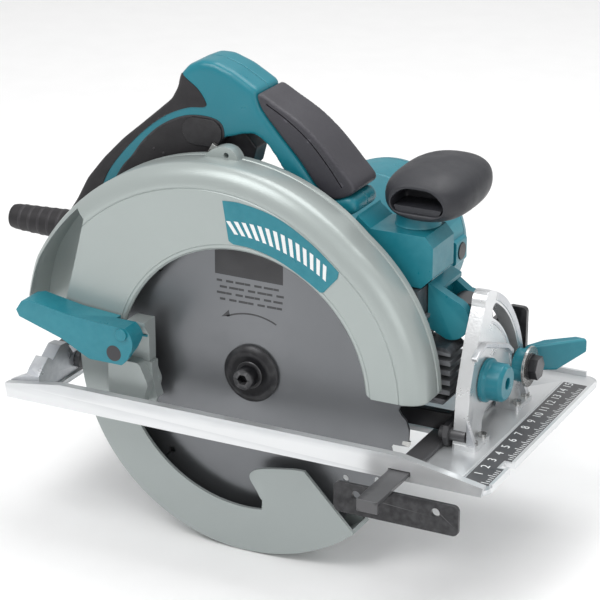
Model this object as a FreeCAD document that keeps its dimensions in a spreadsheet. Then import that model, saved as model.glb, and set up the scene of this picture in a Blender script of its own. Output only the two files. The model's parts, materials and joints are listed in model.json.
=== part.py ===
"""Portable circular saw, 210 mm blade, built as a parametric document of separate pieces.

Every piece is drawn about the blade centre: X points forwards, Y from the blade side towards the
motor, Z up. Its Placement then carries it to the model's frame, whose origin is the centre of the
base's sole. Driving sizes are in the sheet "Dim", in millimetres and degrees.
"""
import FreeCAD, Part
import math
import os

import Sketcher

V = FreeCAD.Vector
doc = FreeCAD.newDocument("CircularSaw")

# ---------------------------------------------------------------- driving dimensions
DIMENSIONS = {
    # base: a flat sole with a rail along the blade side
    "base_length": 316.0, "base_width": 182.0, "base_thick": 3.0, "base_corner": 9.0,
    "arbor_back": 7.0, "arbor_side": 52.2, "arbor_height": 29.5,
    "rail_width": 5.0, "rail_height": 14.7, "slot_front": 110.0, "slot_rear": -126.0,
    "slot_far": 27.0,
    # bevel and depth pivots
    "bevel_y": 11.0, "bevel_z": -19.0, "bevel_pin": 3.9, "bevel_bolt_reach": 74.0,
    "bevel_bolt_angle": 14.5, "bevel_range": 45.0, "quadrant_back": 124.5, "quadrant_front": 133.0,
    "quadrant_reach": 85.0, "pivot_x": 111.0, "pivot_z": 42.0, "pivot_pin": 4.0,
    "guide_reach": 164.0, "guide_near": 16.5, "guide_thick": 3.0,
    # blade and drive
    "blade_reach": 105.0, "blade_thick": 1.8, "tooth_count": 24.0, "flange_reach": 17.5,
    "spindle_radius": 7.9, "bolt_radius": 3.9, "running_gap": 0.08,
    "motor_x": 4.0, "motor_z": 28.2, "gear_teeth": 45.0, "pinion_teeth": 10.0,
    "gear_near": 29.0, "gear_width": 10.0,
    # blade case and lower guard
    "case_near": -16.0, "case_far": 14.5, "case_wall": 2.6, "case_opening": 80.5,
    "case_front_reach": 115.0, "case_growth": 36.5, "guard_reach": 111.0, "guard_inner": 82.7,
    "guard_near": -12.0, "guard_far": 9.8, "guard_wall": 2.2, "hub_radius": 20.4,
    # motor and handle
    "motor_radius": 51.0, "motor_near": 54.0, "motor_far": 186.0, "motor_wall": 3.0,
    "brush_y": 176.0, "knob_half_width": 26.7, "knob_half_length": 41.9,
    "handle_near": 21.0, "handle_far": 52.0, "handle_split": 36.5,
    # guide rule
    "rule_left": 106.2, "rule_width": 12.6, "rule_thick": 2.4, "fence_length": 75.5,
    "fence_height": 18.2, "fence_hole": 2.6, "fence_hole_pitch": 48.0,
}

sheet = doc.addObject("Spreadsheet::Sheet", "Dim")
for row, (alias, value) in enumerate(DIMENSIONS.items(), start=1):
    sheet.set("A%d" % row, alias)
    sheet.set("B%d" % row, str(value))
    sheet.setAlias("B%d" % row, alias)
doc.recompute()


def size(alias):
    """The value of one cell of the sheet."""
    return float(sheet.get(alias))


# ---------------------------------------------------------------- drawing helpers
PLANES = {"XY": "XY_Plane", "XZ": "XZ_Plane", "YZ": "YZ_Plane"}
NODES = []


def text(value):
    """A value as an expression: a number as it is, a text as a formula on the sheet."""
    return value if isinstance(value, str) else "%.6f" % value


def carry(piece, at=(0.0, 0.0, 0.0)):
    """Place a piece drawn about the blade centre in the model's frame."""
    offsets = ("-Dim.arbor_back", "-Dim.arbor_side", "Dim.arbor_height")
    for axis, offset, local in zip("xyz", offsets, at):
        piece.setExpression("Placement.Base." + axis, "%s + (%s)" % (offset, text(local)))


def polygon(*points):
    """Closed outline of straight lines; a point of four numbers is an arc through its first two."""
    edges = []
    last = V(points[-1][-2], points[-1][-1], 0)
    for point in points:
        end = V(point[-2], point[-1], 0)
        if len(point) == 4:
            edges.append(Part.Arc(last, V(point[0], point[1], 0), end))
        elif (end - last).Length > 1e-6:
            edges.append(Part.LineSegment(last, end))
        last = end
    return edges


def polar(radius, degrees, centre=(0.0, 0.0)):
    """A point at a radius and angle from a centre."""
    angle = math.radians(degrees)
    return (centre[0] + radius * math.cos(angle), centre[1] + radius * math.sin(angle))


def rectangle(left, right, low, high, corner=0.0):
    """Rectangle, with rounded corners when a corner radius is given."""
    if corner <= 0:
        return polygon((left, low), (right, low), (right, high), (left, high))
    bend = corner * (1 - math.sqrt(0.5))
    return polygon(
        (left + corner, low), (right - corner, low),
        (right - bend, low + bend, right, low + corner), (right, high - corner),
        (right - bend, high - bend, right - corner, high), (left + corner, high),
        (left + bend, high - bend, left, high - corner), (left, low + corner),
        (left + bend, low + bend, left + corner, low))


def circle(radius, centre=(0.0, 0.0)):
    """A circle whose radius may be a formula; the sketch helper binds it."""
    return ("circle", radius, centre)


def ring_sector(inner, outer, start, stop, centre=(0.0, 0.0)):
    """Outline of an annular sector between two angles."""
    middle = (start + stop) / 2
    return polygon(polar(inner, start, centre), polar(outer, start, centre),
                   polar(outer, middle, centre) + polar(outer, stop, centre),
                   polar(inner, stop, centre),
                   polar(inner, middle, centre) + polar(inner, start, centre))


def arc_slot(reach, half_width, start, stop, centre):
    """Curved slot with round ends, its middle line at one radius from a centre."""
    middle = (start + stop) / 2
    outer, inner = reach + half_width, reach - half_width
    cap = math.degrees(half_width / reach)
    return polygon(polar(outer, start, centre),
                   polar(outer, middle, centre) + polar(outer, stop, centre),
                   polar(reach, stop + cap, centre) + polar(inner, stop, centre),
                   polar(inner, middle, centre) + polar(inner, start, centre),
                   polar(reach, start - cap, centre) + polar(outer, start, centre))


class Piece:
    """One PartDesign body. Spans along the drawing plane's normal are given low to high."""

    def __init__(self, label, at=(0.0, 0.0, 0.0)):
        self.body = doc.addObject("PartDesign::Body", label)
        self.body.Label = label
        self.count = 0
        carry(self.body, at)
        NODES.append(self.body)

    def sketch(self, plane, offset, outlines):
        role = PLANES[plane]
        origin = [f for f in self.body.Origin.OriginFeatures if f.Role == role][0]
        drawing = self.body.newObject("Sketcher::SketchObject", self.body.Name + "_sketch")
        drawing.AttachmentSupport = [(origin, "")]
        drawing.MapMode = "FlatFace"
        drawing.setExpression("AttachmentOffset.Base.z", text(offset))
        for outline in outlines:
            if isinstance(outline, tuple):
                self.bound_circle(drawing, outline[1], outline[2])
            else:
                drawing.addGeometry(outline, False)
        return drawing

    def bound_circle(self, drawing, radius, centre):
        start = radius if not isinstance(radius, str) else drawing.evalExpression(radius)
        start = float(getattr(start, "Value", start))
        index = drawing.addGeometry(Part.Circle(V(centre[0], centre[1], 0), V(0, 0, 1), start))
        constraint = drawing.addConstraint(Sketcher.Constraint("Radius", index, start))
        drawing.setExpression("Constraints[%d]" % constraint, text(radius))

    def span(self, plane, low, high):
        """Sketch offset and length of an extrusion; the XZ plane's normal points to -Y."""
        low, high = text(low), text(high)
        if plane == "XZ":
            return "-(%s)" % high, "-(%s)" % low, "(%s) - (%s)" % (high, low)
        return low, high, "(%s) - (%s)" % (high, low)

    def pad(self, plane, low, high, *outlines):
        start, _, length = self.span(plane, low, high)
        feature = self.body.newObject("PartDesign::Pad", self.body.Name + "_pad")
        feature.Profile = self.sketch(plane, start, outlines)
        feature.setExpression("Length", length)
        self.body.Tip = feature
        doc.recompute()
        return feature

    def pocket(self, plane, low, high, *outlines):
        _, stop, length = self.span(plane, low, high)
        before = self.body.Shape.Volume
        feature = self.body.newObject("PartDesign::Pocket", self.body.Name + "_pocket")
        feature.Profile = self.sketch(plane, stop, outlines)
        feature.setExpression("Length", length)
        self.body.Tip = feature
        doc.recompute()
        if self.body.Shape.Volume >= before:
            raise RuntimeError(self.body.Label + ": a pocket cut nothing")
        return feature

    def turn(self, axis, *outlines, kind="Revolution"):
        """Revolve outlines about X (drawn x, radius), Y (y, radius) or Z (radius, z)."""
        plane, reference = {"X": ("XZ", "H_Axis"), "Y": ("YZ", "H_Axis"), "Z": ("XZ", "V_Axis")}[axis]
        feature = self.body.newObject("PartDesign::" + kind, self.body.Name + "_turn")
        feature.Profile = self.sketch(plane, 0.0, outlines)
        feature.ReferenceAxis = (feature.Profile[0], [reference])
        feature.Angle = 360
        self.body.Tip = feature
        doc.recompute()
        return feature

    def repeat(self, feature, axis, count):
        """Polar pattern of one feature about a body axis."""
        pattern = self.body.newObject("PartDesign::PolarPattern", self.body.Name + "_pattern")
        pattern.Originals = [feature]
        line = [f for f in self.body.Origin.OriginFeatures if f.Role == axis + "_Axis"][0]
        pattern.Axis = (line, [""])
        pattern.Angle = 360
        pattern.setExpression("Occurrences", text(count))
        self.body.Tip = pattern
        doc.recompute()
        return pattern

    def round_edges(self, radius, keep, kind="Fillet"):
        """Fillet or chamfer the edges that a test picks by their bounding boxes."""
        base = self.body.Tip
        names = ["Edge%d" % (i + 1) for i, edge in enumerate(base.Shape.Edges)
                 if keep(edge.BoundBox)]
        feature = self.body.newObject("PartDesign::" + kind, self.body.Name + "_round")
        feature.Base = (base, names)
        if kind == "Fillet":
            feature.setExpression("Radius", text(radius))
        else:
            feature.setExpression("Size", text(radius))
        self.body.Tip = feature
        doc.recompute()
        if "Invalid" in feature.State or feature.Shape.isNull() or not feature.Shape.isValid():
            raise RuntimeError(self.body.Label + ": the edges could not be rounded")
        return feature


def solid_cylinder(axis, radius, low, high, centre):
    """Part cylinder along an axis; its centre is given in the two other coordinates."""
    part = doc.addObject("Part::Cylinder", "cylinder")
    part.setExpression("Radius", text(radius))
    part.setExpression("Height", "(%s) - (%s)" % (text(high), text(low)))
    turns = {"X": (V(0, 1, 0), 90), "Y": (V(1, 0, 0), -90), "Z": (V(0, 0, 1), 0)}
    part.Placement.Rotation = FreeCAD.Rotation(*turns[axis])
    first, second = centre
    places = {"X": (low, first, second), "Y": (first, low, second), "Z": (first, second, low)}
    for name, place in zip("xyz", places[axis]):
        part.setExpression("Placement.Base." + name, text(place))
    return part


def solid_box(x_span, y_span, z_span):
    """Part box between two values along each axis."""
    part = doc.addObject("Part::Box", "box")
    for side, (low, high) in zip(("Length", "Width", "Height"), (x_span, y_span, z_span)):
        part.setExpression(side, "(%s) - (%s)" % (text(high), text(low)))
    for name, (low, _) in zip("xyz", (x_span, y_span, z_span)):
        part.setExpression("Placement.Base." + name, text(low))
    return part


def joined(label, parts, cuts=()):
    """One node made of several Part solids, fused, or of one that is cut."""
    if len(parts) > 1:
        whole = doc.addObject("Part::MultiFuse", label + "_whole")
        whole.Shapes = parts
    else:
        whole = parts[0]
    if cuts:
        tool = cuts[0]
        if len(cuts) > 1:
            tool = doc.addObject("Part::MultiFuse", label + "_tool")
            tool.Shapes = list(cuts)
        cut = doc.addObject("Part::Cut", label)
        cut.Base = whole
        cut.Tool = tool
        whole = cut
    whole.Label = label
    carry(whole)
    NODES.append(whole)
    return whole


# ---------------------------------------------------------------- shared places
SOLE = -size("arbor_height")
PLATE_TOP = SOLE + size("base_thick")
REAR = size("arbor_back") - size("base_length") / 2
FRONT = size("arbor_back") + size("base_length") / 2
NEAR = size("arbor_side") - size("base_width") / 2
FAR = size("arbor_side") + size("base_width") / 2
RAIL_INNER = NEAR + size("rail_width")
RAIL_TOP = SOLE + size("rail_height")
BEVEL = (size("bevel_y"), size("bevel_z"))
BOLT = polar(size("bevel_bolt_reach"), size("bevel_bolt_angle"), BEVEL)
PIVOT = (size("pivot_x"), size("pivot_z"))
MOTOR = (size("motor_x"), size("motor_z"))
RULE_LEFT = size("rule_left")
RULE_RIGHT = RULE_LEFT + size("rule_width")
RULE_LOW = PLATE_TOP + 0.3
RULE_HIGH = RULE_LOW + size("rule_thick")
SHAFT_LOCK = (78, 24)
KNOB = (90.5, 62, 111.7)
KNOB_FOOT = (84, 46)
BUTTON_STEM = (-50, 138)
HANDLE_SCREWS = ((-127, 62), (-36, 163), (-100, 95))
DEPTH_BOLT = polar(size("guide_reach"), 184.5, PIVOT)


# ---------------------------------------------------------------- base (stays still)
def base_plate():
    piece = Piece("base_plate")
    piece.pad("XY", SOLE, PLATE_TOP, rectangle(REAR, FRONT, NEAR, FAR, size("base_corner")))
    piece.pocket("XY", SOLE, PLATE_TOP, rectangle(
        size("slot_rear"), size("slot_front"), RAIL_INNER, size("slot_far"), 3.0))
    rail = polygon((REAR + 3, SOLE), (FRONT - 3, SOLE), (FRONT - 2, SOLE + 5.5),
                   (FRONT - 27, SOLE + 9.9), (FRONT - 53, RAIL_TOP), (REAR + 41, RAIL_TOP),
                   (REAR + 2, SOLE + 9.0))
    piece.pad("XZ", NEAR, RAIL_INNER, rail)
    lip = 2.0
    piece.pad("XY", PLATE_TOP, PLATE_TOP + 1.5,
              rectangle(FRONT - lip, FRONT, RAIL_INNER + 4, FAR - 9))
    piece.pad("XY", PLATE_TOP, PLATE_TOP + 3,
              rectangle(REAR + 9, FRONT - 9, FAR - lip, FAR))
    piece.pad("XY", PLATE_TOP, PLATE_TOP + 2.2, rectangle(119.6, 121.2, 30, 100))
    piece.pocket("XZ", NEAR - 1, RAIL_INNER + 1, rectangle(
        RULE_LEFT - 0.5, RULE_RIGHT + 0.5, PLATE_TOP, RULE_HIGH + 0.5))
    piece.pocket("XY", SOLE, PLATE_TOP + 3, rectangle(FRONT - 6, FRONT + 1, -4, 4))


def front_quadrant():
    piece = Piece("front_quadrant")
    back, front = "Dim.quadrant_back", "Dim.quadrant_front"
    reach = size("quadrant_reach")
    floor = PLATE_TOP
    piece.pad("YZ", back, front, polygon(
        (8, floor), (30, floor), (31, -16), (37, -10.5), (66, -10.5), (72, -16), (73, floor),
        polar(reach, -5.06, BEVEL), polar(reach, 33, BEVEL) + polar(reach, 70, BEVEL),
        (34, 60, 31, 53), (21.7, 36), (11.8, 8.8)))
    piece.pad("XY", floor, floor + 3, rectangle(124.5, 139, 7, 30, 2), rectangle(124.5, 139, 73, 95.5, 2))
    angle, sweep = size("bevel_bolt_angle"), size("bevel_range")
    piece.pocket("YZ", back, front, arc_slot(
        size("bevel_bolt_reach"), 4.6, angle - 2, angle + sweep + 2, BEVEL))
    piece.pocket("YZ", back, front, circle("Dim.bevel_pin + 0.05", BEVEL))
    piece.pocket("YZ", back, front, circle(3.3, (34, 8)))


def rear_bracket():
    piece = Piece("rear_bracket")
    piece.pad("YZ", -137, -128, polygon(
        (-33.5, PLATE_TOP), (-33.5, -15), (-29, -11), (-22, -6.5), (-17, -10), (-8, -3.5),
        (-1, -4), (6, -13.5), (15, -13), (18.2, -19), (16, -25), (8, -26.2), (2, PLATE_TOP)))
    piece.pad("XZ", -33.5, -30, polygon((-149, PLATE_TOP), (-128, PLATE_TOP), (-129, -15),
                                        (-137, -14.5), (-148, -20)))
    piece.pocket("YZ", -137, -128, circle("Dim.bevel_pin + 0.05", BEVEL))


def scale_strip():
    piece = Piece("scale_strip")
    piece.pad("XY", PLATE_TOP, PLATE_TOP + 0.4, rectangle(147, 162.6, -29, 127, 1))
    piece.pocket("XY", PLATE_TOP, PLATE_TOP + 0.4, rectangle(157.5, 163, -6, 6))


def base_screws():
    heads = []
    for x, y in ((136, 12), (136, 25), (136, 78), (136, 91)):
        heads.append(solid_cylinder("Z", 2.6, PLATE_TOP + 3, PLATE_TOP + 5, (x, y)))
    joined("base_screws", heads)


def bevel_pins():
    front = solid_cylinder("X", "Dim.bevel_pin", 116, 132, BEVEL)
    rear = solid_cylinder("X", "Dim.bevel_pin", -146, -128, BEVEL)
    head = solid_cylinder("X", 5.4, -128, -124.4, BEVEL)
    joined("bevel_pins", [front, rear, head])


def rule_bridge():
    piece = Piece("rule_bridge")
    piece.pad("XZ", 108, 120, rectangle(RULE_LEFT - 4, RULE_RIGHT + 4, PLATE_TOP, -15, 2))
    piece.pocket("XZ", 108, 120, rectangle(RULE_LEFT - 0.5, RULE_RIGHT + 0.5, PLATE_TOP, RULE_HIGH + 0.5))
    piece.pocket("XY", -24, -15, circle(2.55, ((RULE_LEFT + RULE_RIGHT) / 2, 114)))


def rule_clamp_screw():
    middle = (RULE_LEFT + RULE_RIGHT) / 2
    shank = solid_cylinder("Z", 2.5, RULE_HIGH + 0.2, -13, (middle, 114))
    head = solid_cylinder("Z", 8, -13, -6, (middle, 114))
    joined("rule_clamp_screw", [shank, head])


def guide_rule():
    bar = Piece("rule_bar")
    bar.pad("XY", RULE_LOW, RULE_HIGH, rectangle(RULE_LEFT, RULE_RIGHT, -81, 128))
    bar.pad("XZ", -81, -78.5, rectangle(RULE_LEFT, RULE_RIGHT, RULE_LOW - 5, RULE_LOW))
    bar.pad("XZ", -78.5, -61.8, rectangle(RULE_LEFT + 2, RULE_RIGHT - 2, RULE_LOW - 3, RULE_LOW))
    fence = Piece("rule_fence")
    left = 83.0
    right = left + size("fence_length")
    low = RULE_LOW - size("fence_height")
    fence.pad("XZ", -61.8, -59.3, rectangle(left, right, low, RULE_LOW, 3.5))
    middle, half = (left + right) / 2, size("fence_hole_pitch") / 2
    fence.pocket("XZ", -61.8, -59.3, circle("Dim.fence_hole", (middle - half, -32.5)),
                 circle("Dim.fence_hole", (middle + half, -32.5)))


# ---------------------------------------------------------------- positive stopper
def stopper():
    knob = Piece("stop_knob", (0, 34, 8))
    knob.turn("X", polygon((133.3, 0), (133.3, 13), (136, 13), (137.3, 11.2), (145, 11.2),
                           (147, 9.5), (147, 0)))
    knob.pocket("YZ", 141, 147, circle(3.4, (0, 0)))
    knob.pad("YZ", 125, 133.3, circle(3.2, (0, 0)))


# ---------------------------------------------------------------- bevel tilt frame
def tilt_frame():
    piece = Piece("tilt_frame")
    web = (119.5, 122.5)
    piece.pad("YZ", web[0], web[1], polygon(
        (7, -25), (4, -19), (6, -12.5), (18, -11), (24, -8), (30, 14), (38, 32), (38, 51), (58, 51),
        (66, 44), (70, 29), (99, 29), (99, -15), (78, -20), (40, -22), (18, -25.2)))
    piece.pad("XZ", 99, 102.5, rectangle(web[0], 132, -15, 29, 3))
    piece.pad("XZ", 38.2, 57.8, polygon(
        (web[0] + 0.5, PIVOT[1] - 8.6), PIVOT[:1] + (PIVOT[1] - 8.6,),
        (PIVOT[0] - 8.6, PIVOT[1], PIVOT[0], PIVOT[1] + 8.6), (web[0] + 0.5, PIVOT[1] + 8.6)))
    piece.pad("YZ", -144, web[0], rectangle(19.5, 25.5, -22.5, -11, 1))
    piece.pad("YZ", -144, -138.5, polygon((11, -26), (3.8, -19, 11, -12), (25.5, -11), (25.5, -22.5),
                                          (18, -24)))
    piece.pocket("XZ", 38, 58, circle("Dim.pivot_pin + 0.05", PIVOT))
    piece.pocket("YZ", -145, -138, circle("Dim.bevel_pin + 0.05", BEVEL))
    piece.pocket("YZ", 118, 123, circle("Dim.bevel_pin + 0.05", BEVEL), circle(4.0, BOLT))


def depth_guide():
    piece = Piece("depth_guide")
    reach = size("guide_reach")
    low, high = "Dim.guide_near", "Dim.guide_near + Dim.guide_thick"
    piece.pad("XZ", low, high, ring_sector(reach - 6.5, reach + 6.5, 148.5, 202.5, PIVOT))
    piece.pocket("XZ", low, high, arc_slot(reach, 3.2, 151.5, 189, PIVOT))


def bevel_clamp():
    bolt = solid_cylinder("X", "Dim.bevel_pin", 116, 143, BOLT)
    nut = solid_cylinder("X", 7, 116, 119.5, BOLT)
    joined("bevel_bolt", [bolt, nut])
    washer = Piece("bevel_washer", (0, BOLT[0], BOLT[1]))
    washer.pad("YZ", 140.6, 142.2, circle(12.3, (0, 0)), circle("Dim.bevel_pin", (0, 0)))
    head = Piece("bevel_bolt_head", (0, BOLT[0], BOLT[1]))
    hexagon = [polar(7.4, 60 * corner) for corner in range(6)]
    head.pad("YZ", 143, 148, polygon(*hexagon))
    head.pad("YZ", 142.2, 143, circle(8.0, (0, 0)), circle("Dim.bevel_pin", (0, 0)))


def bevel_lever():
    piece = Piece("bevel_lever")
    y, z = BOLT
    piece.pad("YZ", 133.6, 140.4, circle(10.0, BOLT))
    arm = doc.addObject("PartDesign::AdditiveLoft", "lever_loft")
    piece.body.addObject(arm)
    sections = []
    for plane_y, x, drop, rise, half in ((y + 5, 137, -8, 8, 3.2), (y + 13.5, 137, -8, 8, 3.2),
                                         (y + 20, 146.5, -8, 10, 5.5), (y + 33, 160, 0.5, 10, 4.5)):
        outline = rectangle(x - half, x + half, z + drop, z + rise, 2.2)
        sections.append(piece.sketch("XZ", -plane_y, [outline]))
    arm.Profile = sections[0]
    arm.Sections = sections[1:]
    arm.Ruled = True
    piece.body.Tip = arm
    doc.recompute()
    piece.pocket("YZ", 133, 141, circle("Dim.bevel_pin + 0.08", BOLT))


def depth_pivot_pin():
    pin = Piece("depth_pivot_pin")
    pin.pad("XZ", 33.2, 66.5, circle("Dim.pivot_pin", PIVOT))


# ---------------------------------------------------------------- blade case and lower guard
def case_reach(degrees):
    """Outer radius of the case: round at the front, growing towards the dust port."""
    start, stop = 53.0, 160.0
    turn = min(1.0, max(0.0, (degrees - start) / (stop - start)))
    return size("case_front_reach") + size("case_growth") * turn ** 1.12


def volute(inset, first, last):
    """Smooth curve along the case at an inset from its outer radius."""
    steps = 14
    points = []
    for step in range(steps + 1):
        degrees = first + (last - first) * step / steps
        points.append(V(*polar(case_reach(degrees) - inset, degrees), 0))
    curve = Part.BSplineCurve()
    curve.interpolate(points)
    return curve, points[0], points[-1]


def closed_by(curve, first, last, *points):
    """Close a curve with straight lines through some points, from its end to its start."""
    corners = [last] + [V(x, y, 0) for x, y in points] + [first]
    lines = [Part.LineSegment(a, b) for a, b in zip(corners, corners[1:])]
    return [curve] + lines


def blade_case():
    piece = Piece("blade_case")
    near, far = "Dim.case_near", "Dim.case_far"
    piece.pad("XZ", near, far, closed_by(*volute(0, -14, 190), (-130, -50), (100, -50)))

    def near_rim(box):
        return box.YLength < 0.01 and abs(box.YMin - size("case_near")) < 0.01 and box.ZMax > 100
    piece.round_edges(6.0, near_rim)
    piece.pocket("XZ", near, far, polygon(
        (-165, 16.7), (-165, -60), (130, -60), (130, 5.2), (84, 5.2), (79, 9), (0, -40), (-40, 16.7)))
    inner = closed_by(*volute(2.9, -6, 178), (-146, -60), (116, -60))
    piece.pocket("XZ", "Dim.case_near + Dim.case_wall", "Dim.case_far - Dim.case_wall", inner)
    piece.pad("XZ", "Dim.case_far - Dim.case_wall", far, circle(52.0))
    piece.pocket("XZ", "Dim.case_near - 1", "Dim.case_near + Dim.case_wall", circle("Dim.case_opening"))
    port = closed_by(*volute(3.2, 140.5, 178), (-120.5, 10), (-120, 23), (-111, 54))
    piece.pocket("XZ", "Dim.case_near - 1", "Dim.case_near + Dim.case_wall", port)
    piece.pocket("XZ", "Dim.case_far - Dim.case_wall - 1", far, circle("Dim.hub_radius"))


def lower_guard():
    piece = Piece("lower_guard")
    near, far = "Dim.guard_near", "Dim.guard_far"
    outer, inner = size("guard_reach"), size("guard_inner")
    start, stop = 180.0, 310.4
    piece.pad("XZ", near, far, ring_sector(outer - 2.4, outer, start, stop))
    piece.pad("XZ", near, "Dim.guard_near + Dim.guard_wall", ring_sector(inner, outer - 1, start, stop))
    front = polar(outer - 1, stop)
    piece.pad("XZ", near, "Dim.guard_near + Dim.guard_wall", polygon(
        (9, -84), (8.3, -70), (2.5, -62), (6, -57), (15, -54.3), (34.6, -51), (55, -51), front,
        polar(outer - 1, 290) + polar(outer - 1, 274)))
    piece.pad("XZ", "Dim.guard_far - Dim.guard_wall", far, ring_sector(26, outer - 1, start, stop))
    piece.pad("XZ", "Dim.guard_far - Dim.guard_wall", far, circle(30.0))
    piece.pad("XZ", near, "Dim.guard_near + Dim.guard_wall", polygon(
        (-109, 1), (-106, -29), (-60, -29), (-56, -10), (-62, 5), (-80, 3)))
    piece.pad("XZ", -25, -17, polygon((-84, -26), (-84, 3), (-63, 3), (-57, -10), (-62, -26)))
    piece.pad("XZ", -17, near, ring_sector(58, 79.6, 178, 200))
    piece.pad("YZ", -72, -60, polygon((-9.8, -8), (-17.3, -8), (-17.3, 19), (-22, 25.3), (-22, 28),
                                      (-9.8, 28)))
    piece.pocket("XZ", "Dim.guard_far - Dim.guard_wall - 1", far, circle("Dim.hub_radius + 0.08"))


def guard_lever():
    piece = Piece("guard_lever")
    piece.pad("XZ", -35, -17.3, polygon(
        (-63, 12), (-61, 20, -66, 28), (-78, 28), (-105, 30), (-131, 34.5), (-137, 33), (-141, 27),
        (-139, 23), (-110, 14), (-92, 5), (-84, 2.5), (-72, 2.6, -63, 12)))
    reach = 51.6
    piece.pocket("YZ", -150, -50, polygon(
        BEVEL, polar(reach, 128, BEVEL), polar(reach, 155, BEVEL) + polar(reach, 182, BEVEL)))
    piece.pocket("YZ", -79, -58, rectangle(-22.1, -17, 18.8, 28.1))
    piece.pocket("XZ", -36, -22, circle(2.0, (-68, 24)))


def lever_screw():
    head = solid_cylinder("Y", 3.6, -36.5, -35, (-68, 24))
    shank = solid_cylinder("Y", 1.9, -35, -22.1, (-68, 24))
    joined("lever_screw", [head, shank])


def guard_parts():
    ring = Piece("guard_ring")
    ring.pad("XZ", 6.2, 7.4, circle(23.0), circle("Dim.hub_radius + 0.02"))
    spring = Piece("guard_spring")
    spring.pad("XZ", 10.0, 11.6, circle(26.5), circle(24.0))


# ---------------------------------------------------------------- blade and spindle
def saw_blade():
    half = size("blade_thick") / 2
    reach, count = size("blade_reach"), int(size("tooth_count"))
    piece = Piece("saw_blade")
    piece.pad("XZ", -half, half, circle("Dim.blade_reach"))
    step = 360.0 / count
    gullet = polygon(polar(reach - 9, 0), polar(reach + 2, 0.4), polar(reach + 2, step * 0.62),
                     polar(reach - 1.5, step * 0.62), polar(reach - 7, step * 0.28))
    cut = piece.pocket("XZ", -half, half, gullet)
    piece.repeat(cut, "Y", "Dim.tooth_count")
    piece.pocket("XZ", -half, half, circle("Dim.spindle_radius + 0.02"))


def spindle_parts():
    half = size("blade_thick") / 2
    shaft = size("spindle_radius")
    rim = size("flange_reach")
    spindle = Piece("spindle")
    spindle.turn("Y", polygon((-half, 0), (-half, shaft), (12.2, shaft), (12.2, 9.6), (19, 9.6), (19, shaft),
                              (47.5, shaft), (47.5, 0)))
    spindle.pocket("XZ", -half, 18, circle("Dim.bolt_radius + 0.02"))
    inner = Piece("inner_flange")
    inner.turn("Y", polygon((half, shaft + 0.02), (half, rim), (4, rim), (6, 13), (6, shaft + 0.02)))
    outer = Piece("outer_flange")
    bore = size("bolt_radius") + 0.02
    outer.turn("Y", polygon((-half, bore), (-half, rim), (-3.2, rim), (-5.2, 14.5), (-5.2, 10.5),
                            (-4.2, 8.6), (-4.2, bore)))
    bolt = Piece("blade_bolt")
    bolt.turn("Y", polygon((-13.5, 0), (-13.5, 5.8), (-12.5, 6.5), (-5.2, 6.5), (-5.2, 8.3), (-4.2, 8.3),
                           (-4.2, 3.9), (15, 3.9), (15, 0)))
    bolt.pocket("XZ", -13.5, -8, polygon(*[polar(3.4, 60 * k) for k in range(6)]))


def gear_outline(count, module, phase):
    """Outline of a spur gear with straight-sided teeth and generous backlash."""
    pitch = count * module / 2
    step = 360.0 / count
    points = []
    for tooth in range(count):
        centre = phase + tooth * step
        for radius, share in ((pitch - 1.25 * module, -0.29), (pitch + 0.8 * module, -0.10),
                              (pitch + 0.8 * module, 0.10), (pitch - 1.25 * module, 0.29)):
            points.append(polar(radius, centre + share * step))
    return polygon(*points)


def gears():
    wheel, pinion = int(size("gear_teeth")), int(size("pinion_teeth"))
    distance = math.hypot(*MOTOR)
    module = 2 * distance / (wheel + pinion)
    line = math.degrees(math.atan2(MOTOR[1], MOTOR[0]))
    low, high = "Dim.gear_near", "Dim.gear_near + Dim.gear_width"
    gear = Piece("drive_gear")
    gear.pad("XZ", low, high, gear_outline(wheel, module, line))
    gear.pocket("XZ", low, high, circle("Dim.spindle_radius + 0.02"))
    shaft = Piece("armature_shaft", (MOTOR[0], 0, MOTOR[1]))
    shaft.turn("Y", polygon((27.6, 0), (27.6, 4), (40.5, 4), (40.5, 5), (192, 5), (192, 0)))
    facing = line + 180 + 180.0 / pinion
    shaft.pad("XZ", low, high, gear_outline(pinion, module, facing))


def armature_parts():
    x, z = MOTOR
    core = Piece("armature_core", (x, 0, z))
    core.turn("Y", polygon((80, 5.02), (80, 18), (86, 26), (130, 26), (136, 18), (136, 5.02)))
    commutator = Piece("commutator", (x, 0, z))
    commutator.turn("Y", polygon((163, 5.02), (163, 15), (183, 15), (183, 5.02)))
    fan = Piece("cooling_fan", (x, 0, z))
    fan.turn("Y", polygon((57, 5.02), (57, 42), (58.5, 42), (60, 12), (64, 12), (64, 5.02)))
    blade = fan.pad("XZ", 58, 64, rectangle(18, 42, -1, 1))
    fan.repeat(blade, "Y", 12)


def bearings():
    gap = size("running_gap")
    shaft = size("spindle_radius") + gap
    near = Piece("spindle_bearing")
    near.turn("Y", polygon((12.3, 9.62), (12.3, 17), (18.9, 17), (18.9, 9.62)))
    rear = Piece("spindle_needle_bearing")
    rear.turn("Y", polygon((42, shaft), (42, 12), (48, 12), (48, shaft)))
    x, z = MOTOR
    front = Piece("armature_front_bearing", (x, 0, z))
    front.turn("Y", polygon((43, 5 + gap), (43, 13), (51, 13), (51, 5 + gap)))
    back = Piece("armature_rear_bearing", (x, 0, z))
    back.turn("Y", polygon((186, 5 + gap), (186, 11), (192, 11), (192, 5 + gap)))


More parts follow.
